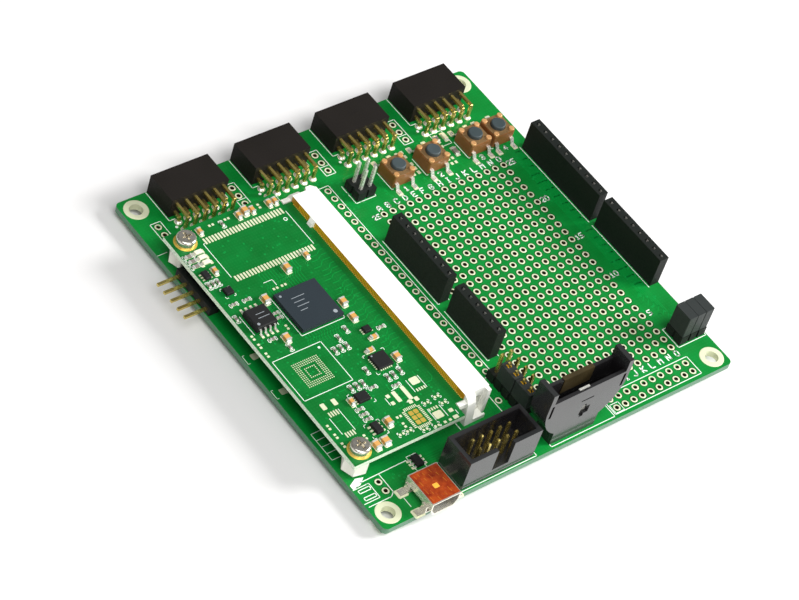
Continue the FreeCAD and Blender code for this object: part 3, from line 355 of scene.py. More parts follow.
class Sheet:
    """Collects small shapes in millimetres and turns them into one named piece."""

    def __init__(self):
        self.verts = []
        self.faces = []

    def rings(self, loops, capped=True):
        """Joins equal-length loops of points one after the other, and closes the two ends if capped."""
        start = len(self.verts)
        count = len(loops[0])
        for level in range(len(loops) - 1):
            a = start + level * count
            b = a + count
            self.faces += [[a + i, a + (i + 1) % count, b + (i + 1) % count, b + i] for i in range(count)]
        if capped:
            last = start + (len(loops) - 1) * count
            self.faces.append([start + i for i in range(count)][::-1])
            self.faces.append([last + i for i in range(count)])
        self.verts += [point for loop in loops for point in loop]

    def slab(self, outline, low, high):
        """An outline in x and y between two heights."""
        self.rings([[(x, y, low) for x, y in outline], [(x, y, high) for x, y in outline]])

    def block(self, x0, y0, x1, y1, low, high):
        """A plain box between two corners."""
        self.slab([(x0, y0), (x1, y0), (x1, y1), (x0, y1)], low, high)

    def tile(self, x, y, wide, deep, low, high):
        """A rectangle with clipped corners, about a centre."""
        clip = 0.12 * min(wide, deep)
        a, b = wide / 2, deep / 2
        shape = [(a - clip, -b), (a, -b + clip), (a, b - clip), (a - clip, b),
                 (-a + clip, b), (-a, b - clip), (-a, -b + clip), (-a + clip, -b)]
        self.slab([(x + px, y + py) for px, py in shape], low, high)

    def turned(self, x, y, profile, sides=16, capped=True):
        """A turned shape from (radius, height) pairs."""
        turns = [2 * math.pi * i / sides for i in range(sides)]
        self.rings([[(x + radius * math.cos(turn), y + radius * math.sin(turn), z) for turn in turns]
                    for radius, z in profile], capped)

    def ring(self, x, y, inner, outer, low, high, sides=20):
        """A flat washer with a slightly domed outer rim."""
        profile = [(inner, low), (inner, high), (outer * 0.93, high), (outer, low), (inner, low)]
        self.turned(x, y, profile, sides, capped=False)

    def barrel(self, x, y, radius, low, high, sides=16):
        """The thin plated lining of a hole."""
        self.turned(x, y, [(radius, high), (radius, low)], sides, capped=False)

    def dot(self, x, y, radius, low, high, sides=16):
        """A round spot."""
        self.turned(x, y, [(radius, low), (radius, high)], sides)

    def line(self, points, width, low, high, closed=False):
        """A flat ribbon with round ends along a run of points."""
        run = list(points) + ([points[0]] if closed else [])
        half = width / 2
        for (x0, y0), (x1, y1) in zip(run, run[1:]):
            length = math.hypot(x1 - x0, y1 - y0)
            ux, uy = (x1 - x0) / length, (y1 - y0) / length
            shape = []
            for cx, cy, start in ((x0, y0, 90), (x1, y1, -90)):
                for step in range(5):
                    angle = math.radians(start + step * 45)
                    dx, dy = half * math.cos(angle), half * math.sin(angle)
                    shape.append((cx + dx * ux - dy * uy, cy + dx * uy + dy * ux))
            self.slab(shape, low, high)

    def frame(self, x0, y0, x1, y1, width, low, high):
        """The outline of a rectangle."""
        self.line([(x0, y0), (x1, y0), (x1, y1), (x0, y1)], width, low, high, closed=True)

    def piece(self, name, key, body="board", smooth=False):
        """Makes the piece, which rides on a body and takes the material kept under the given key."""
        mesh = bpy.data.meshes.new(name)
        mesh.from_pydata([(x * MM, y * MM, z * MM) for x, y, z in self.verts], [], self.faces)
        work = bmesh.new()
        work.from_mesh(mesh)
        bmesh.ops.recalc_face_normals(work, faces=work.faces)
        work.to_mesh(mesh)
        work.free()
        if smooth:
            mesh.shade_smooth()
        mesh.materials.append(MATERIALS[key])
        made = bpy.data.objects.new(name, mesh)
        bpy.context.scene.collection.objects.link(made)
        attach(made, body)
        return made


# Single-stroke characters on a four by six grid, for the numbered rows and lettered columns.
STROKES = {
    "A": "00 04 26 44 40,02 42", "B": "00 06 36 45 44 33 03,33 42 41 30 00", "C": "45 36 16 05 01 10 30 41",
    "D": "00 06 26 44 42 20 00", "E": "46 06 00 40,03 33", "F": "46 06 00,03 33",
    "G": "45 36 16 05 01 10 30 41 43 23", "H": "00 06,40 46,03 43", "I": "20 26,10 30,16 36",
    "J": "46 41 30 10 01", "K": "00 06,46 03 40", "L": "06 00 40", "M": "00 06 23 46 40",
    "N": "00 06 40 46", "O": "10 01 05 16 36 45 41 30 10", "0": "10 01 05 16 36 45 41 30 10",
    "1": "14 26 20,10 30", "2": "05 16 36 45 44 00 40", "3": "05 16 36 45 44 33 13,33 42 41 30 10 01",
    "4": "30 36 02 42", "5": "46 06 03 33 42 41 30 00",
}
INK_THICK = 0.02


def write(sheet, text, x, y, tall, width):
    """Draws characters on the carrier board, centred on a point."""
    unit = tall / 6
    step = 5.5
    start = -(len(text) * step - 1.5) / 2
    for number, letter in enumerate(text):
        for stroke in STROKES[letter].split(","):
            points = [(x + (start + number * step + int(across)) * unit, y + (int(up) - 3) * unit)
                      for across, up in stroke.split()]
            sheet.line(points, width, 0.0, INK_THICK)


# ---- carrier board

SUNK = 0.005
PAD_THICK = 0.035
CORNER_THICK = 0.04
HOLE_RADIUS = 0.50
CORNER_RADIUS = 1.6


def carrier_pads():
    """Tinned rings on both faces and the plated wall of every hole."""
    pads = Sheet()
    linings = Sheet()
    gaps = Sheet()
    for x, y in OPEN_HOLES:
        pads.ring(x, y, HOLE_RADIUS, 0.87, -SUNK, PAD_THICK)
        pads.ring(x, y, HOLE_RADIUS, 0.87, BOARD_UNDER - PAD_THICK, BOARD_UNDER + SUNK)
        gaps.ring(x, y, 0.85, 1.06, -0.004, 0.008)
        linings.barrel(x, y, HOLE_RADIUS - 0.005, BOARD_UNDER - 0.02, 0.02)
    for x, y in FILLED:
        pads.ring(x, y, HOLE_RADIUS, 0.94, -SUNK, PAD_THICK)
    for x, y in CORNERS:
        pads.ring(x, y, CORNER_RADIUS, 2.9, -SUNK, CORNER_THICK, 40)
        pads.ring(x, y, CORNER_RADIUS, 2.9, BOARD_UNDER - CORNER_THICK, BOARD_UNDER + SUNK, 40)
        pads.barrel(x, y, CORNER_RADIUS - 0.01, BOARD_UNDER - 0.03, 0.03, 40)
    pads.piece("carrier_pads", "tin")
    linings.piece("hole_linings", "lining")
    gaps.piece("pad_clearances", "clear")


def solder_joints():
    """A cone of solder round every tail, and a low one on top round the bent pins."""
    joints = Sheet()
    for number, (x, y) in enumerate(FILLED):
        lean = 0.04 * math.sin(number * 2.4)
        if (x, y) in SOCKET_PINS + SIDE_PINS:
            joints.turned(x + lean, y, [(0.82, 0.02), (0.74, 0.12), (0.55, 0.24), (0.38, 0.40)])
        cone = [(1.0, 0.0), (0.98, 0.07), (0.74, 0.35), (0.52, 0.72), (0.40, 0.95)]
        joints.turned(x - lean, y, [(radius, BOARD_UNDER - drop) for radius, drop in cone])
    joints.piece("solder_joints", "solder", smooth=True)


# (x, y, wide, deep) of the taller solder lands of the two resistors and the light beside the switches
PART_LANDS = [
    (29.9, 33.3, 0.9, 0.5), (29.9, 35.3, 0.9, 0.5), (31.6, 28.2, 1.2, 0.6),
    (31.6, 30.6, 1.2, 0.6), (32.0, 33.1, 1.0, 0.6), (32.0, 35.3, 1.0, 0.6),
]
TAB_LAND = (2.7, 2.3)
CONTACT_STEP = 0.5
CONTACT_MIDDLE = middle("module_connector_contacts")[1]


def surface_pads():
    """Solder lands of the surface-mounted parts on the carrier board."""
    lands = Sheet()
    thick = 0.04
    for x in SWITCHES:
        for dx in (-2.25, 2.25):
            for dy in (-4.9, 4.9):
                lands.tile(x + dx, SWITCH_ROW + dy, 1.3, 1.7, -SUNK, 0.05)
    for x, y, wide, deep in PART_LANDS:
        lands.tile(x, y, wide, deep, -SUNK, 0.12)
    for y in (27.9, 29.3, 30.7, 33.2, 34.6):
        for x in (18.1, 19.6):
            lands.tile(x, y, 0.8, 1.0, -SUNK, thick)
        for x in (28.6, 29.8):
            lands.tile(x, y - 1.2, 0.7, 0.8, -SUNK, thick)
    for y in (0.4, -10.2):
        lands.tile(-47.3, y, 1.6, 1.6, -SUNK, thick)
    for x in (-40.9, -30.4):
        for y in (-43.8, -49.6):
            lands.tile(x, y, *TAB_LAND, -SUNK, thick)
    for y in spread(3, -38.8, 0.95):
        for x in (-34.4, -31.4):
            lands.tile(x, y, 1.1, 0.6, -SUNK, thick)
    for y in spread(115, CONTACT_MIDDLE, CONTACT_STEP):
        lands.tile(-9.95, y, 1.5, 0.27, -SUNK, 0.03)
    lands.piece("carrier_lands", "tin")


THIN = 0.18
FINE = 0.15
BOLD = 0.2

# printed outlines on the carrier board by line width, and what they go round: (left, front, right, back)
CARRIER_FRAMES = {
    THIN: {"ten by two strip": (15.3, -49.0, 41.2, -43.7),
           "pair at the back left": (-46.3, 36.3, -43.6, 41.4),
           "programming header": (-29.3, -49.6, -8.1, -41.1),
           "two by three header": (41.3, -40.9, 49.7, -35.1)},
    FINE: {"strip's first hole": (15.6, -48.8, 18.1, -46.4),
           "parts beside the switches": (29.2, 32.0, 32.7, 36.3),
           "surge protector": (-34.2, -41.0, -31.6, -36.7)},
    BOLD: {"upper bar by the front pair": (-48.9, -39.9, -45.95, -39.1),
           "lower bar by the front pair": (-48.9, -41.95, -45.95, -41.15)},
}
# printed lines on the carrier board by width, and what they run along
CARRIER_LINES = {
    THIN: {"right side of the module": [(-5.2, 33.7), (-2.4, 33.7), (-2.4, -27.5), (-4.9, -27.5)],
           "tall pin header": [(0.2, 32.1), (0.2, 26.4), (5.9, 26.4), (5.9, 32.1)],
           "back left shield socket, outside": [(-1.25, 14.6), (-1.25, -6.0), (-0.85, -6.0)],
           "front left shield socket, outside": [(-1.25, -8.3), (-1.25, -23.9), (-0.85, -23.9)],
           "back left shield socket, inside": [(1.9, 14.6), (1.9, -6.0)],
           "front left shield socket, inside": [(1.9, -8.3), (1.9, -23.9)],
           "back right shield socket": [(46.9, 23.8), (46.9, -2.0)],
           "front right shield socket": [(46.9, -3.2), (46.9, -23.9)],
           "coin-cell holder": [(-3.6, -44.0), (-3.6, -49.3), (14.8, -49.3), (14.8, -43.2)],
           "front pair": [(-49.7, -38.5), (-45.6, -38.5), (-45.6, -42.55), (-49.7, -42.55)],
           "corner by the front pair": [(-49.3, -43.55), (-43.3, -43.55), (-42.2, -42.7), (-42.2, -37.6)],
           "connector's front arm": [(-18.75, -36.3), (-18.75, -34.5)],
           "connector's back arm": [(-15.35, 36.5), (-15.35, 33.6), (-13.0, 33.4)],
           "left of the two by five header": [(-7.3, -36.6), (-7.3, -31.4)]},
    FINE: {"receptacle's left side": [(-41.2, -45.1), (-41.2, -47.6)],
           "spine of the side ladder": [(-48.9, -22.4), (-48.9, -30.0)],
           "back left edge": [(-49.9, 33.2), (-47.4, 33.2)]},
    BOLD: {"front of the module": [(-47.4, -37.55), (-34.7, -37.4)]},
}
FRONT_PATCH = [(-49.6, -37.2), (-49.55, -38.4), (-47.4, -38.05), (-45.6, -36.7), (-47.5, -36.2)]


def field_labels(ink):
    """Column letters behind and in front of the hole field, and row numbers on both its sides."""
    for column, letter in enumerate("ABCDEFGHIJKLMNO"):
        for y in (22.95, -42.0):
            write(ink, letter, FIELD_LEFT + column * PITCH, y, 1.45, 0.3)
    for number in (5, 10, 15, 20, 25):
        y = FIELD_FRONT + (number - 1) * PITCH
        write(ink, str(number), 41.9, y, 1.35, 0.28)
        if number > 20:
            write(ink, str(number), 2.0, y, 1.2, 0.26)


def socket_outlines(ink):
    """A bracket on each side of every socket, its pin-one dot, and frames of the rows between."""
    for x in TRIPLE_ROWS:
        ink.frame(x - 1.35, 36.2, x + 1.35, 43.9, THIN, 0.0, INK_THICK)
        ink.line([(x - 1.35, 38.9), (x + 1.35, 38.9)], FINE, 0.0, INK_THICK)
    for centre in SOCKET_MIDDLES:
        left, right = centre - 8.0, centre + 8.0
        ink.line([(left, 49.8), (left, 40.6), (left + 1.6, 40.6)], THIN, 0.0, INK_THICK)
        ink.line([(right, 49.8), (right, 40.6), (right - 1.4, 40.6)], THIN, 0.0, INK_THICK)
        ink.dot(left + 0.5, 38.4, 0.35, 0.0, INK_THICK)


def switch_outlines(ink):
    """A bracket on each side of every switch, and its number."""
    for number, x in enumerate(SWITCHES, start=1):
        for way in (-1, 1):
            bracket = [(x + way * 3.3, 31.9), (x + way * 3.3, 26.3), (x + way * 2.9, 26.3)]
            ink.line(bracket, THIN, 0.0, INK_THICK)
        write(ink, str(number), x, 25.2, 1.4, 0.28)


def carrier_legend():
    """White outlines, pin-one marks, column letters and row numbers."""
    ink = Sheet()
    for width, frames in CARRIER_FRAMES.items():
        for corners in frames.values():
            ink.frame(*corners, width, 0.0, INK_THICK)
    for width, lines in CARRIER_LINES.items():
        for points in lines.values():
            ink.line(points, width, 0.0, INK_THICK)
    ink.slab(FRONT_PATCH, 0.0, INK_THICK)
    field_labels(ink)
    socket_outlines(ink)
    switch_outlines(ink)
    for y in (0.4, -10.2):
        clip = [(-49.2, y + 1.2), (-49.7, y + 1.2), (-49.7, y - 1.2), (-49.2, y - 1.2)]
        ink.line(clip, FINE, 0.0, INK_THICK)
    for rung in range(5):
        y = -22.4 - rung * 1.9
        ink.line([(-48.9, y), (-46.2, y)], FINE, 0.0, INK_THICK)
    ink.piece("carrier_legend", "silk")


COPPER_THICK = 0.012


def route(sheet, points, width):
    """A copper track on the carrier board."""
    sheet.line(points, width, 0.0, COPPER_THICK)


def socket_tracks(copper):
    """Tracks from the peripheral sockets' pins, and a bus beside the back of the module."""
    for number, centre in enumerate(SOCKET_MIDDLES):
        for k, x in enumerate(spread(6, centre)):
            if k % 2:
                y = 34.4 - 0.25 * k
                route(copper, [(x, 36.9), (x, y + 1.2), (x - 1.2, y), (x - 4.6 - 0.4 * number, y)], 0.3)
            route(copper, [(x + 1.27, 39.4), (x + 1.27, 35.2)], 0.25)
    for k in range(9):
        y = 33.9 - 0.55 * k
        route(copper, [(-9.0, y), (-6.5, y), (-5.0, y + 1.4)], 0.25)


def row_tracks(copper):
    """Tracks from the long row of holes and from the shield sockets on the right."""
    for k, (x, y) in enumerate(ROW):
        if k % 2:
            route(copper, [(x, y), (x - 1.3, y), (x - 2.0, y - 0.7), (-8.3, y - 0.7)], 0.3)
        else:
            route(copper, [(x, y), (x + 0.9, y + 0.9), (x + 1.9, y + 0.9)], 0.3)
    for k, (x, y) in enumerate(SHIELD_PINS):
        if x > 20:
            bend = y + 0.7
            route(copper, [(x, y), (x - 1.9, y), (x - 2.6, bend), (x - 3.2 - 0.35 * (k % 7), bend)], 0.3)


def bus_tracks(copper):
    """The buses on the right and in front of the hole field, beside the headers, and behind the field."""
    for k in range(7):
        x = 43.6 + 0.42 * k
        route(copper, [(x, 25.0 + 0.4 * k), (x, -24.0 - 1.3 * k), (x - 1.2, -25.2 - 1.3 * k)], 0.22)
    for k in range(5):
        y = -43.1 - 0.4 * k
        route(copper, [(6.5 + 0.5 * k, y), (42.0 - 0.5 * k, y)], 0.2)
    for k in range(6):
        y = -40.8 + 0.55 * k
        route(copper, [(-30.0, y), (-12.0 - 1.2 * k, y), (-10.4 - 1.2 * k, y + 1.6),
                       (-8.5, y + 1.6 + 0.2 * k)], 0.22)
    for k in range(6):
        x = -9.2 + 0.75 * k
        y = -38.0 + 0.5 * k
        route(copper, [(x, -26.0 - 1.2 * k), (x, y), (x + 0.8, y - 1.0)], 0.22)
    for k in range(10):
        x = 9.0 + 3.6 * k
        y = 33.6 + 0.2 * k
        route(copper, [(x, 24.5), (x, y), (x + 1.0, y + 1.2)], 0.22)


def field_links(copper):
    """Short links between some neighbouring holes of the field, in a fixed pattern."""
    for column in range(FIELD_COLUMNS):
        for row in range(FIELD_ROWS - 1):
            if (column * 7 + row * 3) % 11 == 0:
                x, y = FIELD_LEFT + (column + 0.5) * PITCH, FIELD_FRONT + row * PITCH
                route(copper, [(x, y), (x, y + PITCH)], 0.2)


def carrier_traces():
    """Copper that shows through the mask: tracks, short links between rings, and scattered vias."""
    copper = Sheet()
    socket_tracks(copper)
    row_tracks(copper)
    bus_tracks(copper)
    field_links(copper)
    copper.piece("carrier_traces", "trace")
    vias = Sheet()
    places = [(random.uniform(-9.0, 45.0), random.uniform(24.0, 36.0)) for _ in range(150)]
    for _ in range(60):
        x = random.uniform(-49.0, -10.0)
        places.append((x, random.choice((random.uniform(34.0, 41.0), random.uniform(-41.5, -37.8)))))
    places += [(random.uniform(42.9, 46.5), random.uniform(-34.0, 24.0)) for _ in range(60)]
    for x, y in places:
        vias.ring(x, y, 0.12, 0.28, -SUNK, 0.02, 10)
    vias.piece("carrier_vias", "pour")


# ---- module

# (x, y, wide, deep) of the module's larger unfilled lands
MODULE_LANDS = [
    (-46.2, -21.05, 1.1, 1.7), (-43.3, -21.05, 1.1, 1.7), (-24.1, -24.25, 2.2, 1.9),
    (-25.1, -34.0, 2.2, 1.9), (-30.3, -26.0, 1.0, 3.0), (-27.7, -26.1, 1.0, 3.9),
    (-28.4, -28.4, 1.0, 1.1), (-26.7, -28.4, 1.0, 1.1), (-32.0, -25.1, 0.9, 0.9),
    (-32.1, -27.1, 0.9, 0.9), (-21.9, -34.3, 1.1, 0.9), (-22.0, -36.2, 1.3, 0.9),
    (-23.6, -36.3, 0.7, 0.6), (-25.0, -36.3, 0.7, 0.6),
]
# centres of unfilled two-land footprints, lying along x, with and without printed brackets, and along y
BRACKETED_PAIRS = [(-22.4, -29.9), (-22.0, -31.95), (-25.5, -30.3), (-30.1, -35.9), (-33.5, -34.6),
                   (-35.5, -34.6)]
PAIRS_ALONG_X = BRACKETED_PAIRS + [(-27.2, -36.3), (-33.2, -30.6), (-33.8, 10.2), (-36.0, 10.2),
                                   (-45.8, 31.9), (-38.2, 31.4), (-34.0, 31.4)]
PAIRS_ALONG_Y = [(-33.5, -32.9), (-48.5, -26.0), (-48.5, -28.6), (-48.5, -31.2), (-43.0, -31.6),
                 (-48.7, 1.0), (-48.7, -1.5), (-48.7, -4.2), (-40.2, 0.2), (-25.2, 31.4)]
BARE_CHIP = (-29.6, -32.35)
BALL_GRID = (-42.45, -12.2)
FINGER_STEP = 0.5


def end_caps(sheet, x, y, wide, deep, low, tall):
    """The two metal terminations of a chip part, and the solder that holds them."""
    grow = 0.03
    for way in (-1, 1):
        if deep > wide:
            sheet.tile(x, y + way * deep * 0.4, wide + 2 * grow, deep * 0.2 + grow, low, low + tall + grow)
            sheet.tile(x, y + way * (deep * 0.5 + 0.15), wide * 0.9, 0.36, low, low + tall * 0.4)
        else:
            sheet.tile(x + way * wide * 0.4, y, wide * 0.2 + grow, deep + 2 * grow, low, low + tall + grow)
            sheet.tile(x + way * (wide * 0.5 + 0.15), y, 0.36, deep * 0.9, low, low + tall * 0.4)


def terminations():
    """Metal ends of every resistor, capacitor and light, on both boards."""
    caps = Sheet()
    for x, y, wide, deep, top in CERAMICS + RESISTORS:
        base = MODULE_TOP if top > MODULE_TOP else 0.0
        end_caps(caps, x, y, wide, deep, base, top - base)
    for x, y, wide, deep, top in LIGHTS:
        base, tall = (MODULE_TOP, 0.3) if top > MODULE_TOP else (0.0, 0.4)
        end_caps(caps, x, y, wide, deep, base, tall)
    caps.piece("part_terminations", "solder")


def top_tile(sheet, x, y, wide, deep, thick=PAD_THICK):
    """A pad on the module's upper face."""
    sheet.tile(x, y, wide, deep, MODULE_TOP, MODULE_TOP + thick)


def two_sides(sheet, places, across, reach_out, wide, deep, thick=PAD_THICK, along_x=False):
    """Rows of pads on two opposite sides of a chip; the rows run along y unless along_x."""
    for way in (-1, 1):
        for place in places:
            if along_x:
                top_tile(sheet, place, across + way * reach_out, wide, deep, thick)
            else:
                top_tile(sheet, across + way * reach_out, place, wide, deep, thick)


def unfilled_footprints(pads):
    """Bare lands: the long memory footprint, the ball grid, and the small ones along the front."""
    for x in [-42.15 + i * 0.8 for i in range(27)]:
        top_tile(pads, x, 28.05, 0.48, 1.7)
        top_tile(pads, x, 16.25, 0.48, 1.6)
    ball = [(0.15, MODULE_TOP), (0.15, MODULE_TOP + 0.02), (0.1, MODULE_TOP + PAD_THICK)]
    for dx in spread(14, 0.0, 0.5):
        for dy in spread(14, 0.0, 0.5):
            ring = max(abs(dx), abs(dy)) / 0.5
            if ring > 4 or ring == 2.5:
                pads.turned(BALL_GRID[0] + dx, BALL_GRID[1] + dy, ball, 8)
    for y in (26.0, 24.3, 22.6):
        two_sides(pads, [y], -45.5, 1.15, 0.7, 1.1)
    for x, y, wide, deep in MODULE_LANDS:
        top_tile(pads, x, y, wide, deep)
    for x, y, deep in ((-45.3, -23.45, 1.3), (-45.3, -29.4, 1.3), (-24.1, -26.6, 0.75), (-25.1, -32.2, 0.75)):
        for place in spread(4, x, 0.66):
            top_tile(pads, place, y, 0.36, deep)
    two_sides(pads, spread(11, BARE_CHIP[1], 0.44), BARE_CHIP[0], 2.0, 0.75, 0.24)
    two_sides(pads, spread(8, BARE_CHIP[0], 0.44), BARE_CHIP[1], 2.6, 0.24, 0.75, along_x=True)
    for x, y in PAIRS_ALONG_X:
        two_sides(pads, [y], x, 0.45, 0.55, 0.605)
    for x, y in PAIRS_ALONG_Y:
        two_sides(pads, [x], y, 0.45, 0.605, 0.55, along_x=True)


def filled_footprints(pads):
    """Lands that show round the fitted parts, and the short leads of the small chips."""
    for x, y, wide, deep, _ in CERAMICS:
        grow = (0.9, 0.25) if wide > deep else (0.25, 0.9)
        top_tile(pads, x, y, wide + grow[0], deep + grow[1], 0.02)
    for x, y, wide, deep, _ in MODULE_RESISTORS:
        grow = (0.7, 0.1) if wide > deep else (0.1, 0.7)
        top_tile(pads, x, y, wide + grow[0], deep + grow[1], 0.018)
    two_sides(pads, spread(4, -44.65, 1.27), 4.3, 3.75, 0.6, 1.3, 0.03, along_x=True)
    two_sides(pads, spread(3, -31.0, 0.95), -39.6, 1.25, 0.8, 0.45, 0.14)
    two_sides(pads, spread(4, -22.9, 0.6), -37.4, 1.65, 0.7, 0.3, 0.12)
    two_sides(pads, spread(3, 19.7, 0.75), -47.9, 0.95, 0.6, 0.35, 0.12)
    two_sides(pads, spread(3, -8.3, 0.55), -25.1, 1.1, 0.55, 0.3, 0.12)
    two_sides(pads, spread(6, -16.6, 0.55), -27.5, 2.1, 0.45, 0.3, 0.1)
    two_sides(pads, spread(6, -27.5, 0.55), -16.6, 2.1, 0.3, 0.45, 0.1, along_x=True)


def module_pads():
    """Tinned lands on the module's upper face."""
    pads = Sheet()
    unfilled_footprints(pads)
    filled_footprints(pads)
    pads.piece("module_pads", "tin")


def module_gold():
    """Gilt rings round the screws, the contact fingers on both faces, and the six thermal lands."""
    gold = Sheet()
    for x, y in SCREWS:
        gold.ring(x, y, 1.35, 2.7, MODULE_TOP - SUNK, MODULE_TOP + PAD_THICK, 32)
        gold.ring(x, y, 1.35, 2.7, MODULE_UNDER - PAD_THICK, MODULE_UNDER + SUNK, 32)
    for y in [-32.6 + i * FINGER_STEP for i in range(123)]:
        if not 20.9 < y < 22.9:
            gold.tile(-17.6, y, 0.5, 0.34, MODULE_TOP, MODULE_TOP + 0.03)
            gold.tile(-17.6, y, 0.5, 0.34, MODULE_UNDER - 0.03, MODULE_UNDER)
    for x in spread(2, BARE_CHIP[0], 1.3):
        for y in spread(3, BARE_CHIP[1], 1.3):
            gold.tile(x, y, 1.1, 1.1, MODULE_TOP, MODULE_TOP + 0.03)
    gold.piece("module_gold", "gold_pad")


# printed lines up and down the module, beside what is named: (x, back, front, width)
MODULE_UPRIGHTS = {
    "memory footprint": [(-42.95, 27.6, 17.1, 0.16), (-20.55, 27.6, 17.1, 0.16)],
    "memory chip": [(-47.9, 7.1, 1.6, 0.16), (-41.4, 7.1, 1.6, 0.16)],
    "front left footprint": [(-46.95, -24.2, -28.8, 0.14), (-43.7, -22.9, -29.0, 0.14)],
    "inner land": [(-25.8, -23.4, -26.8, 0.14), (-22.6, -23.4, -26.8, 0.14)],
    "outer land": [(-26.45, -31.8, -35.0, 0.14), (-23.35, -32.0, -35.2, 0.14)],
    "corner and coil lands": [(-20.95, -34.7, -35.8, 0.14), (-32.9, -25.3, -27.3, 0.14)],
}
# the other printed lines there: (points, width)
MODULE_LINES = {
    "memory footprint's first corner": ([(-42.95, 27.6), (-42.6, 27.6)], 0.16),
    "round the processor": ([(-38.75, 8.4), (-38.75, -3.25), (-27.1, -3.25), (-27.1, 8.4)], 0.16),
    "over the coil's lands": ([(-30.3, -24.2), (-28.3, -24.0)], 0.14),
    "between the coil's lands": ([(-29.2, -28.2), (-27.9, -28.3)], 0.14),
    "elbow behind the processor": ([(-37.5, 12.6), (-35.2, 12.6), (-35.2, 10.9)], 0.14),
}
TRACK_THICK = 0.01


def brackets(sheet, x, y, reach_x, reach_y, arm=0.6, width=0.14):
    """The four corner marks of a small footprint, about its centre."""
    for sx in (-1, 1):
        for sy in (-1, 1):
            corner = (x + sx * reach_x, y + sy * reach_y)
            points = [(corner[0] - sx * arm, corner[1]), corner, (corner[0], corner[1] - sy * arm)]
            sheet.line(points, width, MODULE_TOP, MODULE_TOP + INK_THICK)


def module_legend():
    """White outlines and pin-one marks on the module."""
    low, high = MODULE_TOP, MODULE_TOP + INK_THICK
    ink = Sheet()
    for uprights in MODULE_UPRIGHTS.values():
        for x, back, front, width in uprights:
            ink.line([(x, back), (x, front)], width, low, high)
    for points, width in MODULE_LINES.values():
        ink.line(points, width, low, high)
    ink.ring(-22.0, 25.7, 0.32, 0.5, low, high)
    ink.dot(-39.4, 7.6, 0.3, low, high)
    ink.dot(-37.3, -7.5, 0.3, low, high)
    ink.frame(-48.9, -18.0, -36.0, -6.3, 0.16, low, high)
    brackets(ink, -27.5, -16.6, 2.8, 2.8)
    brackets(ink, -37.4, -22.9, 2.5, 2.0)
    brackets(ink, -39.6, -31.0, 2.0, 2.0)
    brackets(ink, -46.1, 13.9, 1.3, 1.4, 0.5)
    for x, y, wide, deep, _ in MODULE_RESISTORS:
        reach_x = wide / 2 + (0.6 if wide > deep else 0.22)
        reach_y = deep / 2 + (0.6 if deep > wide else 0.22)
        brackets(ink, x, y, reach_x, reach_y, 0.4, 0.16)
    for x, y, *_ in MODULE_LIGHTS:
        ink.line([(x - 1.6, y - 0.7), (x - 1.6, y + 0.7)], 0.12, low, high)
    for x, y in BRACKETED_PAIRS + [(-27.2, -36.1)]:
        brackets(ink, x, y, 0.95, 0.6, 0.35)
    ink.piece("module_legend", "silk")


def module_tracks():
    """The module's copper tracks as (points, width): to the fingers, round the processor and in front."""
    tracks = []
    for k in range(26):
        x = -20.6 - 0.6 * (k % 3)
        y = 19.2 - 1.4 * k
        bend = y - 1.2 + 0.1 * (k % 5)
        tracks.append(([(-19.6, y), (x, y), (x - 1.2, bend), (x - 3.0, bend)], 0.15))
    for k in range(14):
        x = -38.0 + 0.75 * k
        bend = 10.4 + 0.1 * k
        tracks.append(([(x, 8.4), (x, bend), (x + 0.9, bend + 1.0), (x + 0.9, 15.0)], 0.14))
        tracks.append(([(x, -3.1), (x, -4.6), (x - 0.8, -5.4), (x - 0.8, -6.0 - 0.1 * k)], 0.14))
    for k in range(12):
        y = 7.4 - 0.8 * k
        tracks.append(([(-39.0, y), (-40.0, y), (-41.0, y - 0.9), (-41.3, y - 0.9)], 0.14))
    for _ in range(16):
        x, y = random.uniform(-47.0, -22.0), random.uniform(-29.0, -19.0)
        bend = x + random.uniform(0.8, 2.4)
        tracks.append(([(x, y), (bend, y), (bend + 0.8, y + 0.8), (bend + 0.8, y + 2.2)], 0.14))
    return tracks


def module_traces():
    """Copper under the module's mask, and vias everywhere but under the processor."""
    copper = Sheet()
    for points, width in module_tracks():
        copper.line(points, width, MODULE_TOP, MODULE_TOP + TRACK_THICK)
    copper.piece("module_traces", "trace")
    (left, front, _), (right, back, _) = reach("processor_chip")
    vias = Sheet()
    for _ in range(170):
        x, y = random.uniform(-48.5, -20.6), random.uniform(-35.0, 26.5)
        if not (left < x < right and front - 0.1 < y < back + 0.1):
            vias.ring(x, y, 0.1, 0.24, MODULE_TOP - 0.002, MODULE_TOP + 0.018, 8)
    vias.piece("module_vias", "pour")


def package_marks():
    """Pin-one dimples, and plain bars where a maker's marking would be."""
    thick = 0.004
    ink = Sheet()
    (left, front, _), (right, back, top) = reach("processor_chip")
    ink.dot(left + 1.0, back - 1.1, 0.32, top - thick, top + thick)
    ink.dot(right - 1.4, front + 1.3, 0.5, top - thick, top + thick)
    for k, length in enumerate((3.4, 2.6, 3.0, 1.8)):
        y = back - 2.7 - k * 1.2
        ink.line([(left + 2.8, y), (left + 2.8 + length, y)], 0.16, top - thick, top + thick)
    (left, front, _), (_, back, top) = reach("memory_chip")
    ink.dot(left + 0.8, front + 0.85, 0.35, top - thick, top + thick)
    for k, length in enumerate((2.2, 2.8)):
        y = back - 2.05 - k * 1.1
        ink.line([(left + 1.7, y), (left + 1.7 + length, y)], 0.14, top - thick, top + thick)
    square_chip_top = MODULE_TOP + 0.8
    ink.dot(-29.0, -15.1, 0.22, square_chip_top - thick, square_chip_top + thick)
    ink.piece("package_marks", "ink")


# ---- connectors

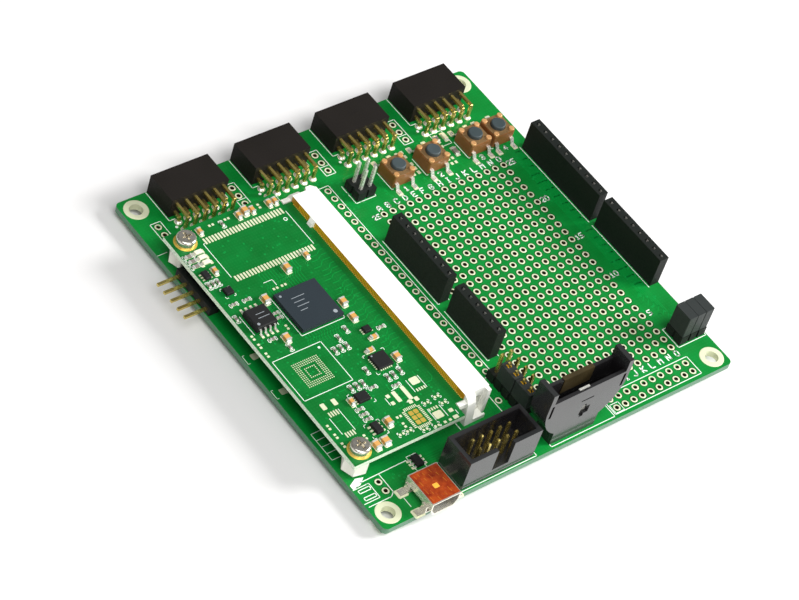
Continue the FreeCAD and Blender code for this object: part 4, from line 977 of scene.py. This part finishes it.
def shield_lips():
    """The forked contact ends that show in the mouths of the shield sockets."""
    top = reach(SHIELD_SOCKETS[0])[1][2]
    lips = Sheet()
    for x, y in SHIELD_PINS:
        for low in (x - 0.43, x + 0.31):
            lips.block(low, y - 0.3, low + 0.12, y + 0.3, top - 2.1, top - 0.2)
    lips.piece("shield_header_lips", "nickel")


def socket_lips():
    """Contacts above and below each position, inside the mouths of the right-angle sockets."""
    (_, front, under), (_, back, _) = reach(SOCKETS[0])
    lips = Sheet()
    for centre in SOCKET_MIDDLES:
        for x in spread(6, centre):
            for z in (under + 1.35, under + 1.35 + PITCH):
                for low in (z - 0.40, z + 0.32):
                    lips.block(x - 0.28, front + 2.6, x + 0.28, back - 0.7, low, low + 0.08)
    lips.piece("peripheral_socket_lips", "gold")


# worn streaks on the receptacle's film: (x, y of the back end, length)
FILM_STREAKS = [
    (-38.6, -43.6, 0.9), (-37.6, -43.5, 0.7), (-36.4, -43.7, 0.6), (-34.6, -43.5, 0.9), (-38.4, -45.3, 1.2),
    (-36.9, -45.0, 0.7), (-35.4, -44.6, 1.3), (-33.6, -44.9, 0.8), (-38.7, -47.1, 1.6), (-37.7, -48.0, 1.1),
    (-33.1, -46.6, 1.2), (-33.7, -49.0, 1.3), (-37.2, -50.1, 1.0), (-35.2, -49.9, 0.8), (-38.8, -49.6, 0.9),
]


def usb_details():
    """The film's printed square and worn streaks, and folded seams in the receptacle's shell."""
    film_x, film_y, _ = middle("usb_cover_film")
    film_top = reach("usb_cover_film")[1][2]
    shell_top = reach("usb_shell")[1][2]
    mark = Sheet()
    mark.tile(film_x - 0.1, film_y - 0.54, 1.35, 1.2, film_top - 0.002, film_top + 0.01)
    mark.piece("usb_film_mark", "film_mark")
    streaks = Sheet()
    for x, y, length in FILM_STREAKS:
        streaks.line([(x, y), (x + 0.15, y - length)], 0.12, film_top - 0.008, film_top + 0.004)
    streaks.piece("usb_film_streaks", "film_line")
    seams = Sheet()
    for x in (film_x - 1.95, film_x + 1.95):
        seams.line([(x, -43.2), (x, -44.4)], 0.16, shell_top - 0.02, shell_top + 0.015)
    seams.piece("usb_shell_seams", "nickel")


MODULE_EDGE = -17.6
KEY_MIDDLE = 21.85


def beam_strip():
    """A thin sheet in painted shade standing for the row of contact beams in the connector's mouth above the
    module's edge, and the key's lug.
    """
    strip = Sheet()
    for front, back in ((-33.3, KEY_MIDDLE - 1.0), (KEY_MIDDLE + 1.1, 29.4)):
        strip.block(MODULE_EDGE - 0.03, front, MODULE_EDGE, back, MODULE_TOP + 0.04, 7.76)
    # the sheet takes the darker copy of the contact gold, painted shade
    strip.piece("module_connector_strip", "beam_painted_shade")
    outline = [(-18.5, 0.7, 6.24), (MODULE_EDGE, 0.9, 6.24), (MODULE_EDGE, 0.9, 7.7), (-18.2, 0.7, 7.0)]
    lug = Sheet()
    lug.rings([[(x, KEY_MIDDLE + way * reach_y, z) for x, reach_y, z in outline] for way in (-1, 1)])
    lug.piece("module_connector_lug", "white")


def clip_rims():
    """Edges of the clip that show round the pins in the top of the open jumper caps."""
    for number in ("b1", "b2"):
        x, centre, _ = middle("jumper_cap_" + number)
        top = reach("jumper_cap_" + number)[1][2]
        rims = Sheet()
        for y in spread(2, centre):
            for low in (x - 0.45, x + 0.38):
                rims.block(low, y - 0.5, low + 0.07, y + 0.5, top - 0.9, top + 0.1)
        # the rims take the brightened copy of the contact gold, painted light
        rims.piece("jumper_rim_" + number, "beam_painted_light", body="jumper_" + number)


# ---- stage

FLOOR_REACH = 1.6
# each lamp's place, size and power
LAMPS = {
    "overhead": ((-0.30, -0.45, 1.15), 0.9, 12.0),
    "key": ((0.92, -0.48, 0.62), 0.45, 19.0),
    "left": ((-1.15, 0.25, 0.42), 0.8, 1.0),
    "front": ((-0.1, -1.2, 0.55), 0.9, 6.0),
}
CAMERA_PLACE = (-0.37155, -0.28635, 0.48610)
CAMERA_TURN = (41.8856, -13.1375, -37.6213)
CAMERA_LENS = 137.98
CAMERA_SENSOR = 36.0


def floor():
    """A plain pale floor just under the lowest solder tail."""
    mesh = bpy.data.meshes.new("floor")
    corners = [(x, y, 0) for x, y in ((-1, -1), (1, -1), (1, 1), (-1, 1))]
    mesh.from_pydata([Vector(corner) * FLOOR_REACH for corner in corners], [], [(0, 1, 2, 3)])
    mesh.materials.append(material("floor_white", (0.80, 0.79, 0.785), (0.78, 0.775, 0.77), (0.7, 0.85),
                                   grain=300.0, patch=4.0, bump=0.02, specular=0.2))
    made = bpy.data.objects.new("floor", mesh)
    made.location.z = CAD_BOX[0].z - 0.0001
    bpy.context.scene.collection.objects.link(made)


def lights():
    """Soft studio light: a dim white surround and four square lamps that face the board."""
    world = bpy.data.worlds.new("studio")
    world.use_nodes = True
    world.node_tree.nodes["Background"].inputs["Color"].default_value = (1.0, 1.0, 1.0, 1.0)
    world.node_tree.nodes["Background"].inputs["Strength"].default_value = 0.16
    bpy.context.scene.world = world
    for name, (place, size, power) in LAMPS.items():
        lamp = bpy.data.lights.new(name, "AREA")
        lamp.size = size
        lamp.energy = power
        held = bpy.data.objects.new(name, lamp)
        held.location = place
        held.rotation_euler = (-Vector(place)).to_track_quat("-Z", "Y").to_euler()
        bpy.context.scene.collection.objects.link(held)


def camera():
    """A long lens in front and to the left of the board, looking down at it."""
    lens = bpy.data.cameras.new("camera")
    lens.lens = CAMERA_LENS
    lens.sensor_width = CAMERA_SENSOR
    held = bpy.data.objects.new("camera", lens)
    held.location = CAMERA_PLACE
    held.rotation_euler = [math.radians(angle) for angle in CAMERA_TURN]
    bpy.context.scene.collection.objects.link(held)
    bpy.context.scene.camera = held


# ---- finishes of the CAD parts

PIN_BASES = ["jumper_header_a_base", "jumper_header_b_base", "pin_header_base", "side_header_base"]
FINISHES = {
    "board": ["carrier_board"],
    "module": ["module_board"],
    "white": ["module_connector"],
    "nylon": ["module_spacers"],
    # the contacts take the contact gold brightened with painted light
    "beam_painted_light": ["module_connector_contacts"],
    "steel": ["module_screws"],
    "charcoal": SOCKETS,
    "gold": ["peripheral_socket_pins", "debug_header_pins", "side_header_pins", "jumper_header_a_pins",
             "jumper_header_b_pins"],
    "lining": ["battery_rear_contact"],
    "nickel": ["shield_header_contacts", "battery_front_contact", "pin_header_pins", "switch_leads",
               "chip_leads", "switch_domes", *group("jumper_clip_")],
    "black": [*SHIELD_SOCKETS, *PIN_BASES, "usb_tongue"],
    "cap": group("jumper_cap_"),
    "satin_black": ["debug_header_shroud", "battery_holder"],
    "shell": ["usb_shell"],
    "film": ["usb_cover_film"],
    "cover": ["switch_covers"],
    "brass": ["switch_rivets"],
    "case": ["switch_cases"],
    "button": group("switch_button_"),
    "slate": ["processor_chip"],
    "chip": ["memory_chip", "small_chips"],
    "tan": ["chip_capacitors"],
    "dark": ["chip_resistors"],
    "resin": ["indicator_lights"],
}
# width of the rounding on sharp edges, in millimetres
ROUNDING = {
    0.12: ["module_connector", "debug_header_shroud", "battery_holder"],
    0.08: [*SHIELD_SOCKETS, *SOCKETS],
    0.06: PIN_BASES,
    0.05: ["processor_chip", "memory_chip", "usb_shell", "switch_leads"],
}
SMOOTH = ["module_screws", "usb_shell", "battery_holder", "switch_rivets", *group("switch_button_")]


def dress_nodes():
    """Gives every CAD part its material, rounds its edges and smooths its curved faces."""
    for key, names in FINISHES.items():
        paint(key, *names)
    for width, names in ROUNDING.items():
        soften(width, *names)
    for name in SMOOTH:
        mesh = NODES[name].data
        mesh.shade_smooth()
        mesh.set_sharp_from_angle(angle=math.radians(35))


carrier_pads()
solder_joints()
surface_pads()
carrier_legend()
carrier_traces()
terminations()
module_pads()
module_gold()
module_legend()
module_traces()
package_marks()
shield_lips()
socket_lips()
usb_details()
beam_strip()
clip_rims()
dress_nodes()
floor()
lights()
camera()
bpy.context.scene.view_settings.view_transform = "Standard"
